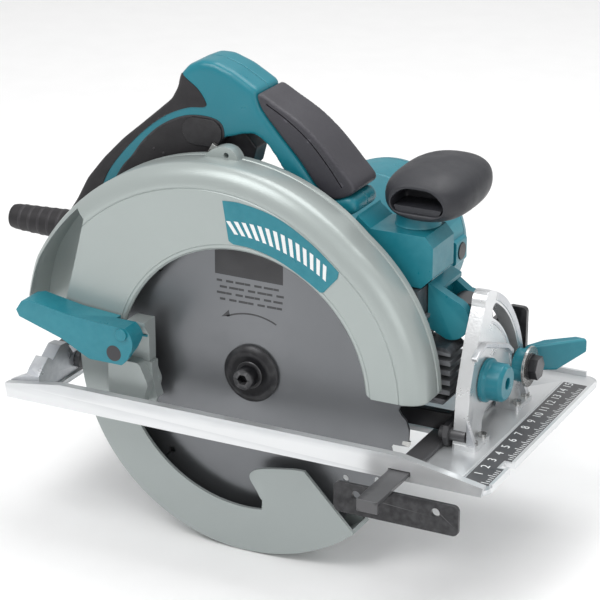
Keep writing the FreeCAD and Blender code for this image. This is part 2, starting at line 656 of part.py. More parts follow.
# ---------------------------------------------------------------- gear housing, motor and handle
def gear_housing():
    piece = Piece("gear_housing")
    piece.pad("XZ", 19.2, 41, polygon(
        (-38, -9.3), (48, -9.3), (92, 2), (95, 20), (97.2, 50), (96, 60), (72, 60), (60, 74.5), (-6, 74.5),
        (-30, 60), (-38, 40)))
    piece.pad("XZ", 14.5, 19.2, polygon((20, -9.3), (86, -9.3), (92, 2), (96, 50), (60, 62), (20, 60)))
    piece.pad("XZ", 14.5, 19.2, circle(24.0))
    piece.pad("XZ", 26.4, 43, circle(26.1))
    piece.pad("XZ", 6.0, 14.5, circle("Dim.hub_radius"))
    piece.pad("XZ", 41, 50, circle(15.0))
    piece.pad("XZ", 41, 53.9, circle(48.0, MOTOR))
    piece.pocket("XZ", 27.8, 40.5, circle(25.0))
    piece.pocket("XZ", 27.3, 40.5, circle(9.0, MOTOR))
    piece.pocket("XZ", 6, 19.0, circle(17.02))
    piece.pocket("XZ", 19, 42, circle(10.0))
    piece.pocket("XZ", 40, 48.2, circle(12.02))
    piece.pocket("XZ", 40, 54, circle(13.02, MOTOR))
    piece.pocket("XZ", 51.2, 54, circle(44.0, MOTOR))
    piece.pocket("XZ", 27, 53.9, circle("3.05 + Dim.running_gap", SHAFT_LOCK))
    piece.pad("XZ", 20, 41, polygon((88, -6.5), (113, -6.5), (117, 0), (117, 26), (114, 28.5), (88, 28.5)))
    for height in range(-3, 27, 6):
        piece.pocket("XZ", 19, 42, rectangle(107, 118, height, height + 3))


def front_arm():
    piece = Piece("front_arm")
    x, z = PIVOT
    near_cheek = polygon((98, 35), (109, 29.8), (x + 12.4, z, 114.5, 53.9), (98, 62.2))
    far_cheek = polygon((99, 36), (109, 33.6), (x + 8.2, z, 111, 50.6), (99, 59))
    piece.pad("XZ", 31, 37.6, near_cheek)
    piece.pad("XZ", 58.4, 64.5, far_cheek)
    piece.pad("XZ", 31, 64.5, polygon((97.5, 34), (101, 34), (101, 57), (104, 56.5), (104, 59),
                                      (97.5, 62)))
    piece.pocket("XZ", 33, 65, circle("Dim.pivot_pin + 0.02", (x, z)))


def motor_housing():
    piece = Piece("motor_housing")
    near, far = "Dim.motor_near", "Dim.motor_far"
    brush = size("brush_y")
    piece.pad("XZ", near, far, circle("Dim.motor_radius", MOTOR))
    for side in (-1, 1):
        root, tip = MOTOR[0] + side * 40, MOTOR[0] + side * 53
        boss = polygon((root, MOTOR[1] - 9), (tip, MOTOR[1] - 7), (tip, MOTOR[1] + 7), (root, MOTOR[1] + 9))
        piece.pad("XZ", brush - 8, brush + 8, boss)
    piece.pocket("XZ", "Dim.motor_near + 1", "Dim.motor_far + 1",
                 circle("Dim.motor_radius - Dim.motor_wall", MOTOR))
    piece.pocket("XZ", "Dim.motor_near - 1", "Dim.motor_near + 1", circle(43.0, MOTOR))
    piece.pocket("YZ", MOTOR[0] - 54, MOTOR[0] + 54, circle(5.45, (brush, MOTOR[1])))


def front_cowl():
    """Cowl between the gear housing and the front knob."""
    piece = Piece("front_cowl")
    piece.pad("XZ", 24, 53.8, polygon(
        (44, 77), (61, 75.2), (73, 60.8), (96, 60.8), (103, 68), (103, 86), (98, 92), (64, 92),
        (57, 97.5), (56, 99.2)))
    piece.pocket("XZ", 28, 53.8, polygon(
        (63, 80), (74, 65), (94, 65), (99, 69), (99, 84), (96, 88), (66, 88)))
    piece.pocket("XY", 86, 95, circle(4.02, KNOB_FOOT))


def motor_cover():
    piece = Piece("motor_end_cover", (MOTOR[0], 0, MOTOR[1]))
    piece.turn("Y", polygon((186.1, 0), (186.1, 51), (191, 50), (196, 43), (198, 31), (198, 0)))
    piece.pocket("XZ", 185, 193, circle(11.02))
    piece.pocket("XZ", 185, 193, circle(44.0), circle(16.0))
    vent = piece.pocket("XZ", 186, 198, rectangle(18, 41, -1.5, 1.5))
    piece.repeat(vent, "Y", 8)


def tube(low, high, outer, inner, centre):
    """Short tube along X."""
    ring = doc.addObject("Part::Cut", "tube")
    ring.Base = solid_cylinder("X", outer, low, high, centre)
    ring.Tool = solid_cylinder("X", inner, low - 1, high + 1, centre)
    return ring


def stator_parts():
    x, z = MOTOR
    stator = Piece("stator", (x, 0, z))
    stator.pad("XZ", 86, 130, circle("Dim.motor_radius - Dim.motor_wall - 0.02"), circle(30.2))
    brush = size("brush_y")
    holders, brushes, caps = [], [], []
    for side in (-1, 1):
        inner, outer = sorted((x + side * 21, x + side * 44))
        holders.append(tube(inner, outer, 5.2, 4.0, (brush, z)))
        near, far = sorted((x + side * 15.3, x + side * 34))
        brushes.append(solid_box((near, far), (brush - 3, brush + 3), (z - 2.4, z + 2.4)))
        low, high = sorted((x + side * 44.2, x + side * 53.6))
        caps.append(solid_cylinder("X", 5.4, low, high, (brush, z)))
    joined("brush_holders", holders)
    joined("carbon_brushes", brushes)
    joined("brush_caps", caps)


def handle():
    split, near, far = "Dim.handle_split", "Dim.handle_near", "Dim.handle_far"
    outline = polygon(
        (-142, 47), (-142, 68), (-132.4, 80.2), (-113, 108.7), (-86, 133.8), (-72, 146), (-63, 155),
        (-61, 164), (-56, 176, -42, 178), (-32, 177), (-7.7, 161.4), (-4.9, 154), (5.3, 141.5),
        (19.2, 126.5), (30.3, 112.4), (40.2, 106.1), (52.8, 110.6), (57.5, 103), (55, 100), (40, 91.5),
        (24, 84), (-4, 78), (-60, 52), (-100, 44))
    loop = polygon((-9, 139), (-4, 136.4), (0, 133), (5.5, 126), (11.5, 117), (20, 101), (16, 93),
                   (-4, 84), (-60, 72), (-84, 78), (-60, 100), (-34, 122), (-31, 134), (-18, 138.5))
    slot = rectangle(-41, -10, 106.5, 138)
    cavity = rectangle(-59, -41, 107.5, 129)
    for label, low, high, face in (("handle_near_half", near, split, size("handle_near")),
                                   ("handle_far_half", split, far, size("handle_far"))):
        piece = Piece(label)
        piece.pad("XZ", low, high, outline)
        piece.pocket("XZ", low, high, loop)

        def on_face(box):
            top = box.ZMax > 150 and box.XMax < -5
            return box.YLength < 0.01 and abs(box.YMin - face) < 0.01 and (top or box.XMax < -60
                                                                          and box.ZMin > 68)
        piece.round_edges(5.0, on_face)
        inner = ("28.4", split) if face < 30 else (split, "44.6")
        piece.pocket("XZ", inner[0], inner[1], slot)
        piece.pocket("XZ", inner[0], inner[1], cavity)
        if face < 30:
            piece.pocket("XZ", low, 27.6, rectangle(-56.3, -29.7, 127.2, 144.3, 8.2))
            piece.pocket("XZ", 27, 34, circle(3.8, BUTTON_STEM))
        for place in HANDLE_SCREWS:
            span = (30.0, 36.5) if face < 30 else (36.5, 49.0)
            piece.pocket("XZ", span[0], span[1], circle(2.02, place))
            if face > 30:
                piece.pocket("XZ", 49.0, far, circle(4.2, place))


def handle_screws():
    """Pan-head screws that close the handle halves."""
    screws = []
    for place in HANDLE_SCREWS:
        screws.append(solid_cylinder("Y", 2.0, 30.2, 49, place))
        screws.append(solid_cylinder("Y", 3.9, 49, 51.5, place))
    joined("handle_screws", screws)


def handle_extras():
    grip = Piece("front_grip")
    grip.pad("XZ", "Dim.handle_near", "Dim.handle_far", polygon(
        (-7.4, 161.6), (-4.3, 163.4), (18.8, 149.6), (32.7, 138.5), (45.2, 126), (55.4, 115.6),
        (53, 111), (40.2, 106.5), (30.6, 112.6), (19.5, 126.7), (5.6, 141.7), (-4.6, 154.2)))
    grip.round_edges(6.0, lambda box: box.YLength < 0.01 and box.ZMin > 138 and box.XMax > 15)
    guard = Piece("cord_guard", (0, 36, 57))
    guard.turn("X", polygon((-187, 4.2), (-187, 7.3), (-184, 7.9), (-146, 9.6), (-142.2, 9.6),
                            (-142.2, 4.2)))


def controls():
    trigger = Piece("trigger")
    trigger.pad("XZ", 29, 44, polygon((-33.4, 135.5), (-19, 136), (-12, 128), (-15, 117), (-23, 109),
                                      (-34, 112)))
    block = Piece("switch_block")
    block.pad("XZ", 29, 44, rectangle(-58.5, -41.5, 108, 128.5, 1))
    button = Piece("lock_off_button")
    button.pad("XZ", 19.6, 24.6, rectangle(-56, -30, 127.5, 144, 8))
    button.pad("XZ", 24.6, 30, circle(3.5, BUTTON_STEM))
    lock = Piece("shaft_lock")
    lock.pad("XZ", 31, 60, circle(3.05, SHAFT_LOCK))
    lock.pad("XZ", 57, 62, circle(7.0, SHAFT_LOCK))


def depth_clamp():
    x, z = DEPTH_BOLT
    bolt = solid_cylinder("Y", 2.9, 14.6, 33, DEPTH_BOLT)
    head = solid_cylinder("Y", 5.0, 31, 34, DEPTH_BOLT)
    joined("depth_bolt", [bolt, head])
    lever = Piece("depth_lever")
    lever.pad("XZ", 20.2, 30.6, circle(8.5, DEPTH_BOLT))
    lever.pad("XZ", 22, 30, polygon((x, z + 6), (x - 36, z + 2.5), (x - 40, z - 1, x - 36, z - 4.5),
                                    (x, z - 6)))
    lever.pocket("XZ", 20, 31, circle(2.98, DEPTH_BOLT))


def front_knob():
    """Pebble-shaped front knob with a finger recess on the blade side."""
    knob = Piece("front_knob", KNOB)
    half_width, half_length = size("knob_half_width"), size("knob_half_length")
    low, high = -15.0, 15.8
    oval = Part.Ellipse(V(0, half_length, 0), V(half_width, 0, 0), V(0, 0, 0))
    knob.pad("XY", low, high, oval)
    knob.round_edges(13.0, lambda box: box.ZLength < 0.01)
    knob.pocket("XZ", -43, -22, rectangle(-15, 15, -6, 6, 5.5))
    neck = 92.2 - KNOB[2]
    foot = (KNOB_FOOT[0] - KNOB[0], KNOB_FOOT[1] - KNOB[1])
    knob.pad("XY", neck, -10.0, circle(11.0, foot))
    knob.pocket("XY", neck - 1, -8.5, circle(4.02, foot))
    screw = Piece("knob_screw")
    screw.pad("XY", 86, 102, circle(4.0, KNOB_FOOT))


def finish():
    """Recompute, check every object and write one file for each node."""
    doc.recompute()
    for item in doc.Objects:
        if "Invalid" in item.State or "Error" in item.State:
            raise RuntimeError("%s is not computed: %s" % (item.Label, item.State))
    os.makedirs("parts", exist_ok=True)
    for node in NODES:
        shape = node.Shape
        if shape.isNull() or not shape.isValid() or not shape.Solids:
            raise RuntimeError(node.Label + " has no valid solid")
        shape.exportStep("parts/%s.step" % node.Label)


BUILDERS = (
    base_plate, front_quadrant, rear_bracket, scale_strip, base_screws, bevel_pins, rule_bridge,
    rule_clamp_screw, guide_rule, stopper, tilt_frame, depth_guide, bevel_clamp, bevel_lever,
    depth_pivot_pin, blade_case, lower_guard, guard_lever, lever_screw, guard_parts,
    saw_blade, spindle_parts, gears, armature_parts, bearings, gear_housing, front_arm, motor_housing,
    front_cowl, motor_cover, stator_parts, handle, handle_screws, handle_extras, controls,
    depth_clamp, front_knob)
for build in BUILDERS:
    build()
finish()
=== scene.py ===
import json
import math

import bmesh
import bpy
import numpy as np
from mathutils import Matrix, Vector


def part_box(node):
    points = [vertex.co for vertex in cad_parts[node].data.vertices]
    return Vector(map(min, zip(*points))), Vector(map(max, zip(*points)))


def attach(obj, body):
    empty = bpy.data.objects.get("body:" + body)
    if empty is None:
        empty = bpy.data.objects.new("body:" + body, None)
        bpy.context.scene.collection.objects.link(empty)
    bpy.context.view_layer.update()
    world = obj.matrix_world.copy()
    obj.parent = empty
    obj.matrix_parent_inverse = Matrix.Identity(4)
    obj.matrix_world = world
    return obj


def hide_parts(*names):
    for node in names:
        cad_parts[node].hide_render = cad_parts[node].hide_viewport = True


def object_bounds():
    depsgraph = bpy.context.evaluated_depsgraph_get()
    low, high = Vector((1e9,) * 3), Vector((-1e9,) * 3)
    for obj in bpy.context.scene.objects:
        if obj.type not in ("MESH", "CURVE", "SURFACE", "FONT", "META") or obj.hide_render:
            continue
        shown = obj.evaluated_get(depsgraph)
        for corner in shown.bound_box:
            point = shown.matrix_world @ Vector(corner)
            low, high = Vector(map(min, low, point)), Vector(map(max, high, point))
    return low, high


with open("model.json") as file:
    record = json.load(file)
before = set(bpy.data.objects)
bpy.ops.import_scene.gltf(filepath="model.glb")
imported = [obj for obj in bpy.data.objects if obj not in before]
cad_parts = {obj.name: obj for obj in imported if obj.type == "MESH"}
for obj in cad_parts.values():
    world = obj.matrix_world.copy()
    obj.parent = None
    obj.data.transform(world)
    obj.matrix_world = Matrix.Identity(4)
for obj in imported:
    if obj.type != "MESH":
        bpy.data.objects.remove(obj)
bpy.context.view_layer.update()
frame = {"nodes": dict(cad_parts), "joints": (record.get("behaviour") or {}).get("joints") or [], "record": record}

# Looks of the circular saw. Shapes are drawn in millimetres from the blade's centre: X forwards,
# Y from the blade side towards the motor, Z up. Angles are in degrees, from X towards Z.
MM = 0.001
JOINTS = {joint["name"]: joint for joint in frame["joints"]}
ARBOR = Vector(JOINTS["arbor_spin"]["pos_m"])
MOTOR = (Vector(JOINTS["armature_spin"]["pos_m"]) - ARBOR) / MM
BEVEL = (Vector(JOINTS["bevel_tilt"]["pos_m"]) - ARBOR) / MM


def place(x, y, z):
    """A point in the model's frame, in metres."""
    return ARBOR + Vector((x, y, z)) * MM


def span(node, axis):
    """Low and high side of a CAD node along an axis, in millimetres from the blade's centre."""
    low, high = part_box(node)
    index = "XYZ".index(axis)
    return (low[index] - ARBOR[index]) / MM, (high[index] - ARBOR[index]) / MM


# ---------------------------------------------------------------- materials
def srgb(red, green, blue):
    """Linear colour of a display colour given from 0 to 255."""
    def linear(level):
        level /= 255
        return level / 12.92 if level <= 0.04045 else ((level + 0.055) / 1.055) ** 2.4
    return (linear(red), linear(green), linear(blue), 1.0)


def shade(colour, factor):
    """A colour made darker or paler."""
    return tuple(min(1.0, level * factor) for level in colour[:3]) + (1.0,)


class Surface:
    """A procedural material: uneven colour and gloss, fine bumps, and paler convex edges that are partly rubbed
    wear and partly painted highlights.
    """

    def __init__(self, name, colour, metallic=0.0, roughness=0.4, uneven=0.08, patch=28.0,
                 bump=0.12, grain=1400.0, stretch=(1, 1, 1), edge_wear_and_highlight=None, edge_wear_and_highlight_strength=0.5, dull=0.2):
        self.material = bpy.data.materials.new(name)
        self.material.use_nodes = True
        self.nodes = self.material.node_tree.nodes
        self.links = self.material.node_tree.links
        self.shader = self.nodes["Principled BSDF"]
        self.shader.inputs["Metallic"].default_value = metallic
        self.stretch = stretch
        cloud = self.noise(patch, 5.0)
        low, high = shade(colour, 1 - uneven), shade(colour, 1 + uneven)
        self.tint = self.ramp(cloud, 0.3, 0.7, low, high)
        # Paler colour on convex edges, found from pointiness: partly rubbed wear, partly painted highlight along
        # the edges.
        if edge_wear_and_highlight:
            edge = self.nodes.new("ShaderNodeNewGeometry").outputs["Pointiness"]
            rough_edge = self.math("ADD", edge, self.math("MULTIPLY", self.noise(220.0, 3.0), 0.05))
            mask = self.ramp(rough_edge, 0.545, 0.60, (0, 0, 0, 1), (edge_wear_and_highlight_strength, edge_wear_and_highlight_strength, edge_wear_and_highlight_strength, 1))
            self.tint = self.mix(mask, self.tint, edge_wear_and_highlight)
        self.connect("Base Color", self.tint)
        fine = self.noise(grain, 2.0)
        gloss = self.spread(self.noise(90.0, 4.0), roughness * (1 - dull), roughness * (1 + dull))
        self.connect("Roughness", gloss)
        self.relief(fine, bump)

    def connect(self, socket, output):
        self.links.new(output, self.shader.inputs[socket])

    def node(self, kind, **values):
        made = self.nodes.new(kind)
        for key, value in values.items():
            setattr(made, key, value)
        return made

    def where(self):
        """Object coordinates in metres, stretched along the axes."""
        coordinates = self.node("ShaderNodeTexCoord").outputs["Object"]
        mapping = self.node("ShaderNodeMapping")
        mapping.inputs["Scale"].default_value = self.stretch
        self.links.new(coordinates, mapping.inputs["Vector"])
        return mapping.outputs["Vector"]

    def noise(self, scale, detail):
        made = self.node("ShaderNodeTexNoise")
        made.inputs["Scale"].default_value = scale
        made.inputs["Detail"].default_value = detail
        self.links.new(self.where(), made.inputs["Vector"])
        return made.outputs["Fac"]

    def ramp(self, factor, start, stop, first, second):
        made = self.node("ShaderNodeValToRGB")
        made.color_ramp.elements[0].position = start
        made.color_ramp.elements[1].position = stop
        made.color_ramp.elements[0].color = first
        made.color_ramp.elements[1].color = second
        self.links.new(factor, made.inputs["Fac"])
        return made.outputs["Color"]

    def spread(self, factor, low, high):
        made = self.node("ShaderNodeMapRange")
        made.inputs["From Min"].default_value = 0.3
        made.inputs["From Max"].default_value = 0.7
        made.inputs["To Min"].default_value = low
        made.inputs["To Max"].default_value = high
        self.links.new(factor, made.inputs["Value"])
        return made.outputs["Result"]

    def math(self, operation, first, second):
        made = self.node("ShaderNodeMath", operation=operation)
        for socket, value in zip(made.inputs, (first, second)):
            if isinstance(value, (int, float)):
                socket.default_value = value
            else:
                self.links.new(value, socket)
        return made.outputs[0]

    def mix(self, mask, first, second):
        made = self.node("ShaderNodeMix", data_type="RGBA")
        self.links.new(mask, made.inputs["Factor"])
        for name, value in (("A", first), ("B", second)):
            socket = [s for s in made.inputs if s.name == name and s.type == "RGBA"][0]
            if isinstance(value, tuple):
                socket.default_value = value
            else:
                self.links.new(value, socket)
        return [s for s in made.outputs if s.type == "RGBA"][0]

    def relief(self, height, strength, distance=0.0003):
        made = self.node("ShaderNodeBump")
        made.inputs["Strength"].default_value = strength
        made.inputs["Distance"].default_value = distance
        self.links.new(height, made.inputs["Height"])
        self.connect("Normal", made.outputs["Normal"])


# The paler edge colours given below are painted highlights along convex edges as well as rubbed wear.
TEAL = Surface("teal_moulding", srgb(23, 116, 131), roughness=0.34, uneven=0.05, bump=0.16,
               edge_wear_and_highlight=srgb(78, 160, 172), edge_wear_and_highlight_strength=0.35)
CASE = Surface("case_paint", srgb(164, 172, 170), metallic=0.30, roughness=0.34, uneven=0.012,
               bump=0.08, grain=900.0, dull=0.05)
# A darker copy of the case paint, used on the lower guard: the darkening is painted shade.
GUARD_SHADED_PAINT = Surface("guard_paint", srgb(160, 167, 166), metallic=0.30, roughness=0.36, uneven=0.015,
                bump=0.08, grain=900.0, dull=0.05)
BRIGHT = Surface("bright_aluminium", srgb(196, 199, 201), metallic=0.55, roughness=0.30,
                 uneven=0.03, bump=0.06, stretch=(0.15, 1, 1), edge_wear_and_highlight=srgb(238, 239, 240), edge_wear_and_highlight_strength=0.6,
                 dull=0.08)
CASTING = Surface("cast_aluminium", srgb(182, 185, 190), metallic=0.7, roughness=0.32,
                  uneven=0.07, bump=0.35, grain=700.0, edge_wear_and_highlight=srgb(240, 241, 241), edge_wear_and_highlight_strength=0.7)
BLACK = Surface("black_steel", srgb(28, 28, 31), metallic=0.3, roughness=0.36, uneven=0.12,
                bump=0.15, edge_wear_and_highlight=srgb(120, 120, 122), edge_wear_and_highlight_strength=0.5)
ZINC = Surface("zinc_steel", srgb(184, 184, 182), metallic=0.9, roughness=0.26, uneven=0.08,
               bump=0.08)
PLASTIC = Surface("black_plastic", srgb(29, 27, 30), roughness=0.45, uneven=0.1, bump=0.25,
                  edge_wear_and_highlight=srgb(74, 74, 78), edge_wear_and_highlight_strength=0.4)
RUBBER = Surface("grey_rubber", srgb(56, 55, 61), roughness=0.5, uneven=0.07, bump=0.35,
                 grain=1100.0, edge_wear_and_highlight=srgb(104, 102, 110), edge_wear_and_highlight_strength=0.35)
KNOB_RUBBER = Surface("knob_rubber", srgb(42, 43, 48), roughness=0.5, uneven=0.07, bump=0.35,
                      grain=1100.0, edge_wear_and_highlight=srgb(84, 84, 90), edge_wear_and_highlight_strength=0.35)
SOFT_BLACK = Surface("black_rubber", srgb(30, 28, 31), roughness=0.58, uneven=0.1, bump=0.35,
                     grain=1100.0, edge_wear_and_highlight=srgb(78, 76, 80), edge_wear_and_highlight_strength=0.35)
DARK_CAST = Surface("dark_casting", srgb(46, 48, 52), metallic=0.35, roughness=0.4, uneven=0.15,
                    bump=0.4, grain=700.0, edge_wear_and_highlight=srgb(150, 152, 156), edge_wear_and_highlight_strength=0.7)
DARK_IRON = Surface("dark_iron", srgb(60, 60, 62), metallic=0.6, roughness=0.5, uneven=0.1, bump=0.3)
COPPER = Surface("copper", srgb(190, 120, 80), metallic=0.95, roughness=0.3)
BRASS = Surface("brass", srgb(200, 170, 100), metallic=0.95, roughness=0.3)
WHITE = Surface("white_ink", srgb(228, 230, 230), roughness=0.5, uneven=0.03, bump=0.05)
INK = Surface("dark_ink", srgb(66, 66, 68), metallic=0.3, roughness=0.45, uneven=0.1, bump=0.05)


def blade_surface():
    """Ground steel: rings of fine scratches round the arbor and a turned highlight."""
    made = Surface("blade_steel", srgb(120, 122, 125), metallic=0.8, roughness=0.33, uneven=0.02,
                   bump=0.02, dull=0.06)
    made.shader.inputs["Anisotropic"].default_value = 0.75
    tangent = made.node("ShaderNodeTangent", direction_type="RADIAL", axis="Y")
    made.links.new(tangent.outputs["Tangent"], made.shader.inputs["Tangent"])
    return made


BLADE = blade_surface()
SLOTS = {"teal_plastic": TEAL, "painted_aluminium": CASE, "bright_aluminium": BRIGHT,
         "black_steel": BLACK, "zinc_steel": ZINC, "blade_steel": BLADE, "black_scale": BLACK,
         "black_plastic": PLASTIC, "black_rubber": SOFT_BLACK, "dark_casting": DARK_CAST,
         "grey_rubber": RUBBER, "dark_iron": DARK_IRON, "copper": COPPER, "brass": BRASS, "carbon": PLASTIC}
NODE_SLOT = {part["node"]: part["material_slot"] for part in frame["record"]["subparts"]}
NODE_BODY = {node: body for body, nodes in frame["record"]["behaviour"]["bodies"].items()
             for node in nodes}


# ---------------------------------------------------------------- mesh helpers
def polar(radius, degrees, centre=(0.0, 0.0)):
    """Point at a radius and an angle from a centre."""
    angle = math.radians(degrees)
    return (centre[0] + radius * math.cos(angle), centre[1] + radius * math.sin(angle))


def arc(radius, start, stop, centre=(0.0, 0.0), steps=24):
    """Points along an arc of a circle."""
    return [polar(radius, start + (stop - start) * k / steps, centre) for k in range(steps + 1)]


def through(points, steps=8, closed=True):
    """Smooth curve through a few points (Catmull-Rom), as a list of points."""
    count = len(points)
    curve = []
    for k in range(count if closed else count - 1):
        ends = [points[(k + shift) % count] if closed else points[min(max(k + shift, 0), count - 1)]
                for shift in (-1, 0, 1, 2)]
        a, b, c, d = (np.array(p, float) for p in ends)
        for step in range(steps):
            t = step / steps
            curve.append(tuple(0.5 * (2 * b + (c - a) * t + (2 * a - 5 * b + 4 * c - d) * t ** 2
                                      + (3 * b - a - 3 * c + d) * t ** 3)))
    return curve


def softened(points, radius, steps=5):
    """Outline with each corner turned into a small arc-like curve."""
    result = []
    count = len(points)
    for k, point in enumerate(points):
        here = np.array(point, float)
        sides = []
        for other in (points[k - 1], points[(k + 1) % count]):
            way = np.array(other, float) - here
            length = np.linalg.norm(way)
            sides.append(here + way / length * min(radius, length * 0.45))
        for step in range(steps + 1):
            t = step / steps
            result.append(tuple((1 - t) ** 2 * sides[0] + 2 * t * (1 - t) * here + t ** 2 * sides[1]))
    return result


def add(name, points, faces, material):
    """New object from points in millimetres."""
    mesh = bpy.data.meshes.new(name)
    mesh.from_pydata([place(*point) for point in points], [], faces)
    made = bpy.data.objects.new(name, mesh)
    bpy.context.scene.collection.objects.link(made)
    mesh.materials.append(material.material)
    tidy = bmesh.new()
    tidy.from_mesh(mesh)
    bmesh.ops.remove_doubles(tidy, verts=tidy.verts, dist=0.002 * MM)
    bmesh.ops.recalc_face_normals(tidy, faces=tidy.faces)
    tidy.to_mesh(mesh)
    tidy.free()
    return made


LIFT = {"XY": lambda u, v, w: (u, v, w), "XZ": lambda u, v, w: (u, w, v), "YZ": lambda u, v, w: (w, u, v)}


def prism(name, outline, low, high, material, plane="XZ"):
    """Outline drawn in a plane and extruded between two heights along its normal."""
    lift = LIFT[plane]
    count = len(outline)
    points = [lift(u, v, low) for u, v in outline] + [lift(u, v, high) for u, v in outline]
    faces = [list(range(count)), list(range(2 * count - 1, count - 1, -1))]
    faces += [[k, (k + 1) % count, count + (k + 1) % count, count + k] for k in range(count)]
    return add(name, points, faces, material)


def lathe(name, profile, centre, axis, material, steps=96):
    """Closed profile of (along, radius) turned about an axis; radius 0 closes it."""
    lift = {"X": lambda a, u, v: (a, centre[1] + u, centre[2] + v),
            "Y": lambda a, u, v: (centre[0] + u, a, centre[2] + v),
            "Z": lambda a, u, v: (centre[0] + u, centre[1] + v, a)}[axis]
    points, faces = [], []
    rows = len(profile)
    for step in range(steps):
        angle = 2 * math.pi * step / steps
        points += [lift(a, r * math.cos(angle), r * math.sin(angle)) for a, r in profile]
    for step in range(steps):
        first, second = step * rows, (step + 1) % steps * rows
        for row in range(rows):
            below = (row + 1) % rows
            faces.append([first + row, first + below, second + below, second + row])
    return add(name, points, faces, material)


def settle(obj):
    """Apply the object's modifiers to its mesh."""
    bpy.context.view_layer.update()
    graph = bpy.context.evaluated_depsgraph_get()
    mesh = bpy.data.meshes.new_from_object(obj.evaluated_get(graph))
    obj.modifiers.clear()
    obj.data = mesh
    return obj


def modify(obj, kind, **settings):
    """Apply one modifier to the object."""
    modifier = obj.modifiers.new(kind.lower(), kind)
    for key, value in settings.items():
        setattr(modifier, key, value)
    return settle(obj)


def combine(obj, tool, operation="DIFFERENCE"):
    """Boolean with another object, which is then removed."""
    modify(obj, "BOOLEAN", object=tool, operation=operation, solver="EXACT")
    bpy.data.objects.remove(tool)
    return obj


def flatten(obj):
    """Join the triangles that lie in one plane."""
    work = bmesh.new()
    work.from_mesh(obj.data)
    bmesh.ops.remove_doubles(work, verts=work.verts, dist=0.004 * MM)
    bmesh.ops.dissolve_limit(work, angle_limit=math.radians(1.0), verts=work.verts, edges=work.edges)
    work.to_mesh(obj.data)
    work.free()


def round_edges(obj, width, limit=32.0, segments=3):
    """Small round on every sharp edge, then smooth shading."""
    flatten(obj)
    modify(obj, "BEVEL", width=width * MM, segments=segments, limit_method="ANGLE",
           angle_limit=math.radians(limit), use_clamp_overlap=True)
    return face_normals(smooth(obj))


def smooth(obj, angle=38.0):
    """Smooth shading, kept sharp where the faces meet at more than an angle."""
    for face in obj.data.polygons:
        face.use_smooth = True
    obj.data.set_sharp_from_angle(angle=math.radians(angle))
    return obj


def face_normals(obj):
    """Let the large faces set the shading, so that flat faces look flat beside a round."""
    return modify(obj, "WEIGHTED_NORMAL", keep_sharp=True, weight=100)


def stand_for(obj, *nodes):
    """The object is shown in place of CAD nodes of one body, and moves with them."""
    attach(obj, NODE_BODY[nodes[0]])
    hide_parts(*nodes)
    return obj


def detail(obj, node, slot=None):
    """Extra detail that moves with a CAD node's body; the slot argument is not used."""
    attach(obj, NODE_BODY[node])
    return obj


def copy_of(name, *nodes):
    """New object with the meshes of some CAD nodes."""
    work = bmesh.new()
    for node in nodes:
        work.from_mesh(frame["nodes"][node].data)
    mesh = bpy.data.meshes.new(name)
    work.to_mesh(mesh)
    work.free()
    made = bpy.data.objects.new(name, mesh)
    bpy.context.scene.collection.objects.link(made)
    mesh.materials.clear()
    mesh.materials.append(SLOTS[NODE_SLOT[nodes[0]]].material)
    return made


def softened_node(node, width, material):
    """A CAD node with its sharp edges rounded."""
    made = copy_of(node + "_rounded", node)
    made.data.materials[0] = material.material
    round_edges(made, width)
    return stand_for(made, node)


# ---------------------------------------------------------------- blade case
CASE_NEAR, CASE_FAR = span("blade_case", "Y")
CASE_WALL = 2.6
OPENING = 80.5
RIM_ROUND = (13.0, 10.0)
FRONT_REACH, REAR_GROWTH = 115.0, 36.5
GROWTH_START, GROWTH_STOP = 53.0, 160.0
HUB_HOLE = 20.6


def case_reach(degrees):
    """Outer radius of the case: round at the front, growing towards the dust port."""
    turn = min(1.0, max(0.0, (degrees - GROWTH_START) / (GROWTH_STOP - GROWTH_START)))
    return FRONT_REACH + REAR_GROWTH * turn ** 1.12


def case_section(reach):
    """Profile of the case as (radius, Y): opening lip, wall, groove, round rim, bead and back."""
    wide, deep = RIM_ROUND
    inner_wide, inner_deep = wide - CASE_WALL, deep - CASE_WALL
    shoulder = reach - wide
    lip = [(OPENING, CASE_NEAR + CASE_WALL), (OPENING, CASE_NEAR + 1.2), (OPENING + 1.2, CASE_NEAR),
           (OPENING + 2.6, CASE_NEAR), (OPENING + 2.9, CASE_NEAR + 0.4), (OPENING + 3.4, CASE_NEAR)]
    groove = [(shoulder - 1.1, CASE_NEAR), (shoulder - 0.7, CASE_NEAR + 0.55),
              (shoulder - 0.1, CASE_NEAR + 0.1)]
    rim = [(shoulder + wide * math.sin(turn), CASE_NEAR + 0.05 + deep * (1 - math.cos(turn)))
           for turn in map(math.radians, range(0, 91, 10))]
    bead = [(reach, 7.6), (reach - 0.9, 8.0), (reach - 0.9, 8.8), (reach, 9.2)]
    back = [(reach, CASE_FAR - 1.0), (reach - 1.0, CASE_FAR), (52.0, CASE_FAR),
            (52.0, CASE_FAR - CASE_WALL), (reach - CASE_WALL, CASE_FAR - CASE_WALL)]
    inside = [(shoulder + inner_wide * math.sin(turn),
               CASE_NEAR + CASE_WALL + inner_deep * (1 - math.cos(turn)))
              for turn in map(math.radians, range(90, -1, -15))]
    return lip + groove + rim + bead + back + inside


def case_shell():
    """The case's profile swept round the arbor, from ahead of it to behind it."""
    points, faces = [], []
    steps, first, sweep = 150, -10, 200
    for step in range(steps + 1):
        degrees = first + sweep * step / steps
        spin = math.radians(degrees)
        section = case_section(case_reach(degrees))
        points += [(r * math.cos(spin), y, r * math.sin(spin)) for r, y in section]
    size = len(section)
    for step in range(steps):
        for k in range(size):
            a, b = step * size + k, step * size + (k + 1) % size
            faces.append([a, b, b + size, a + size])
    faces.append(list(range(size)))
    faces.append([steps * size + k for k in reversed(range(size))])
    return add("blade_case_shell", points, faces, CASE)


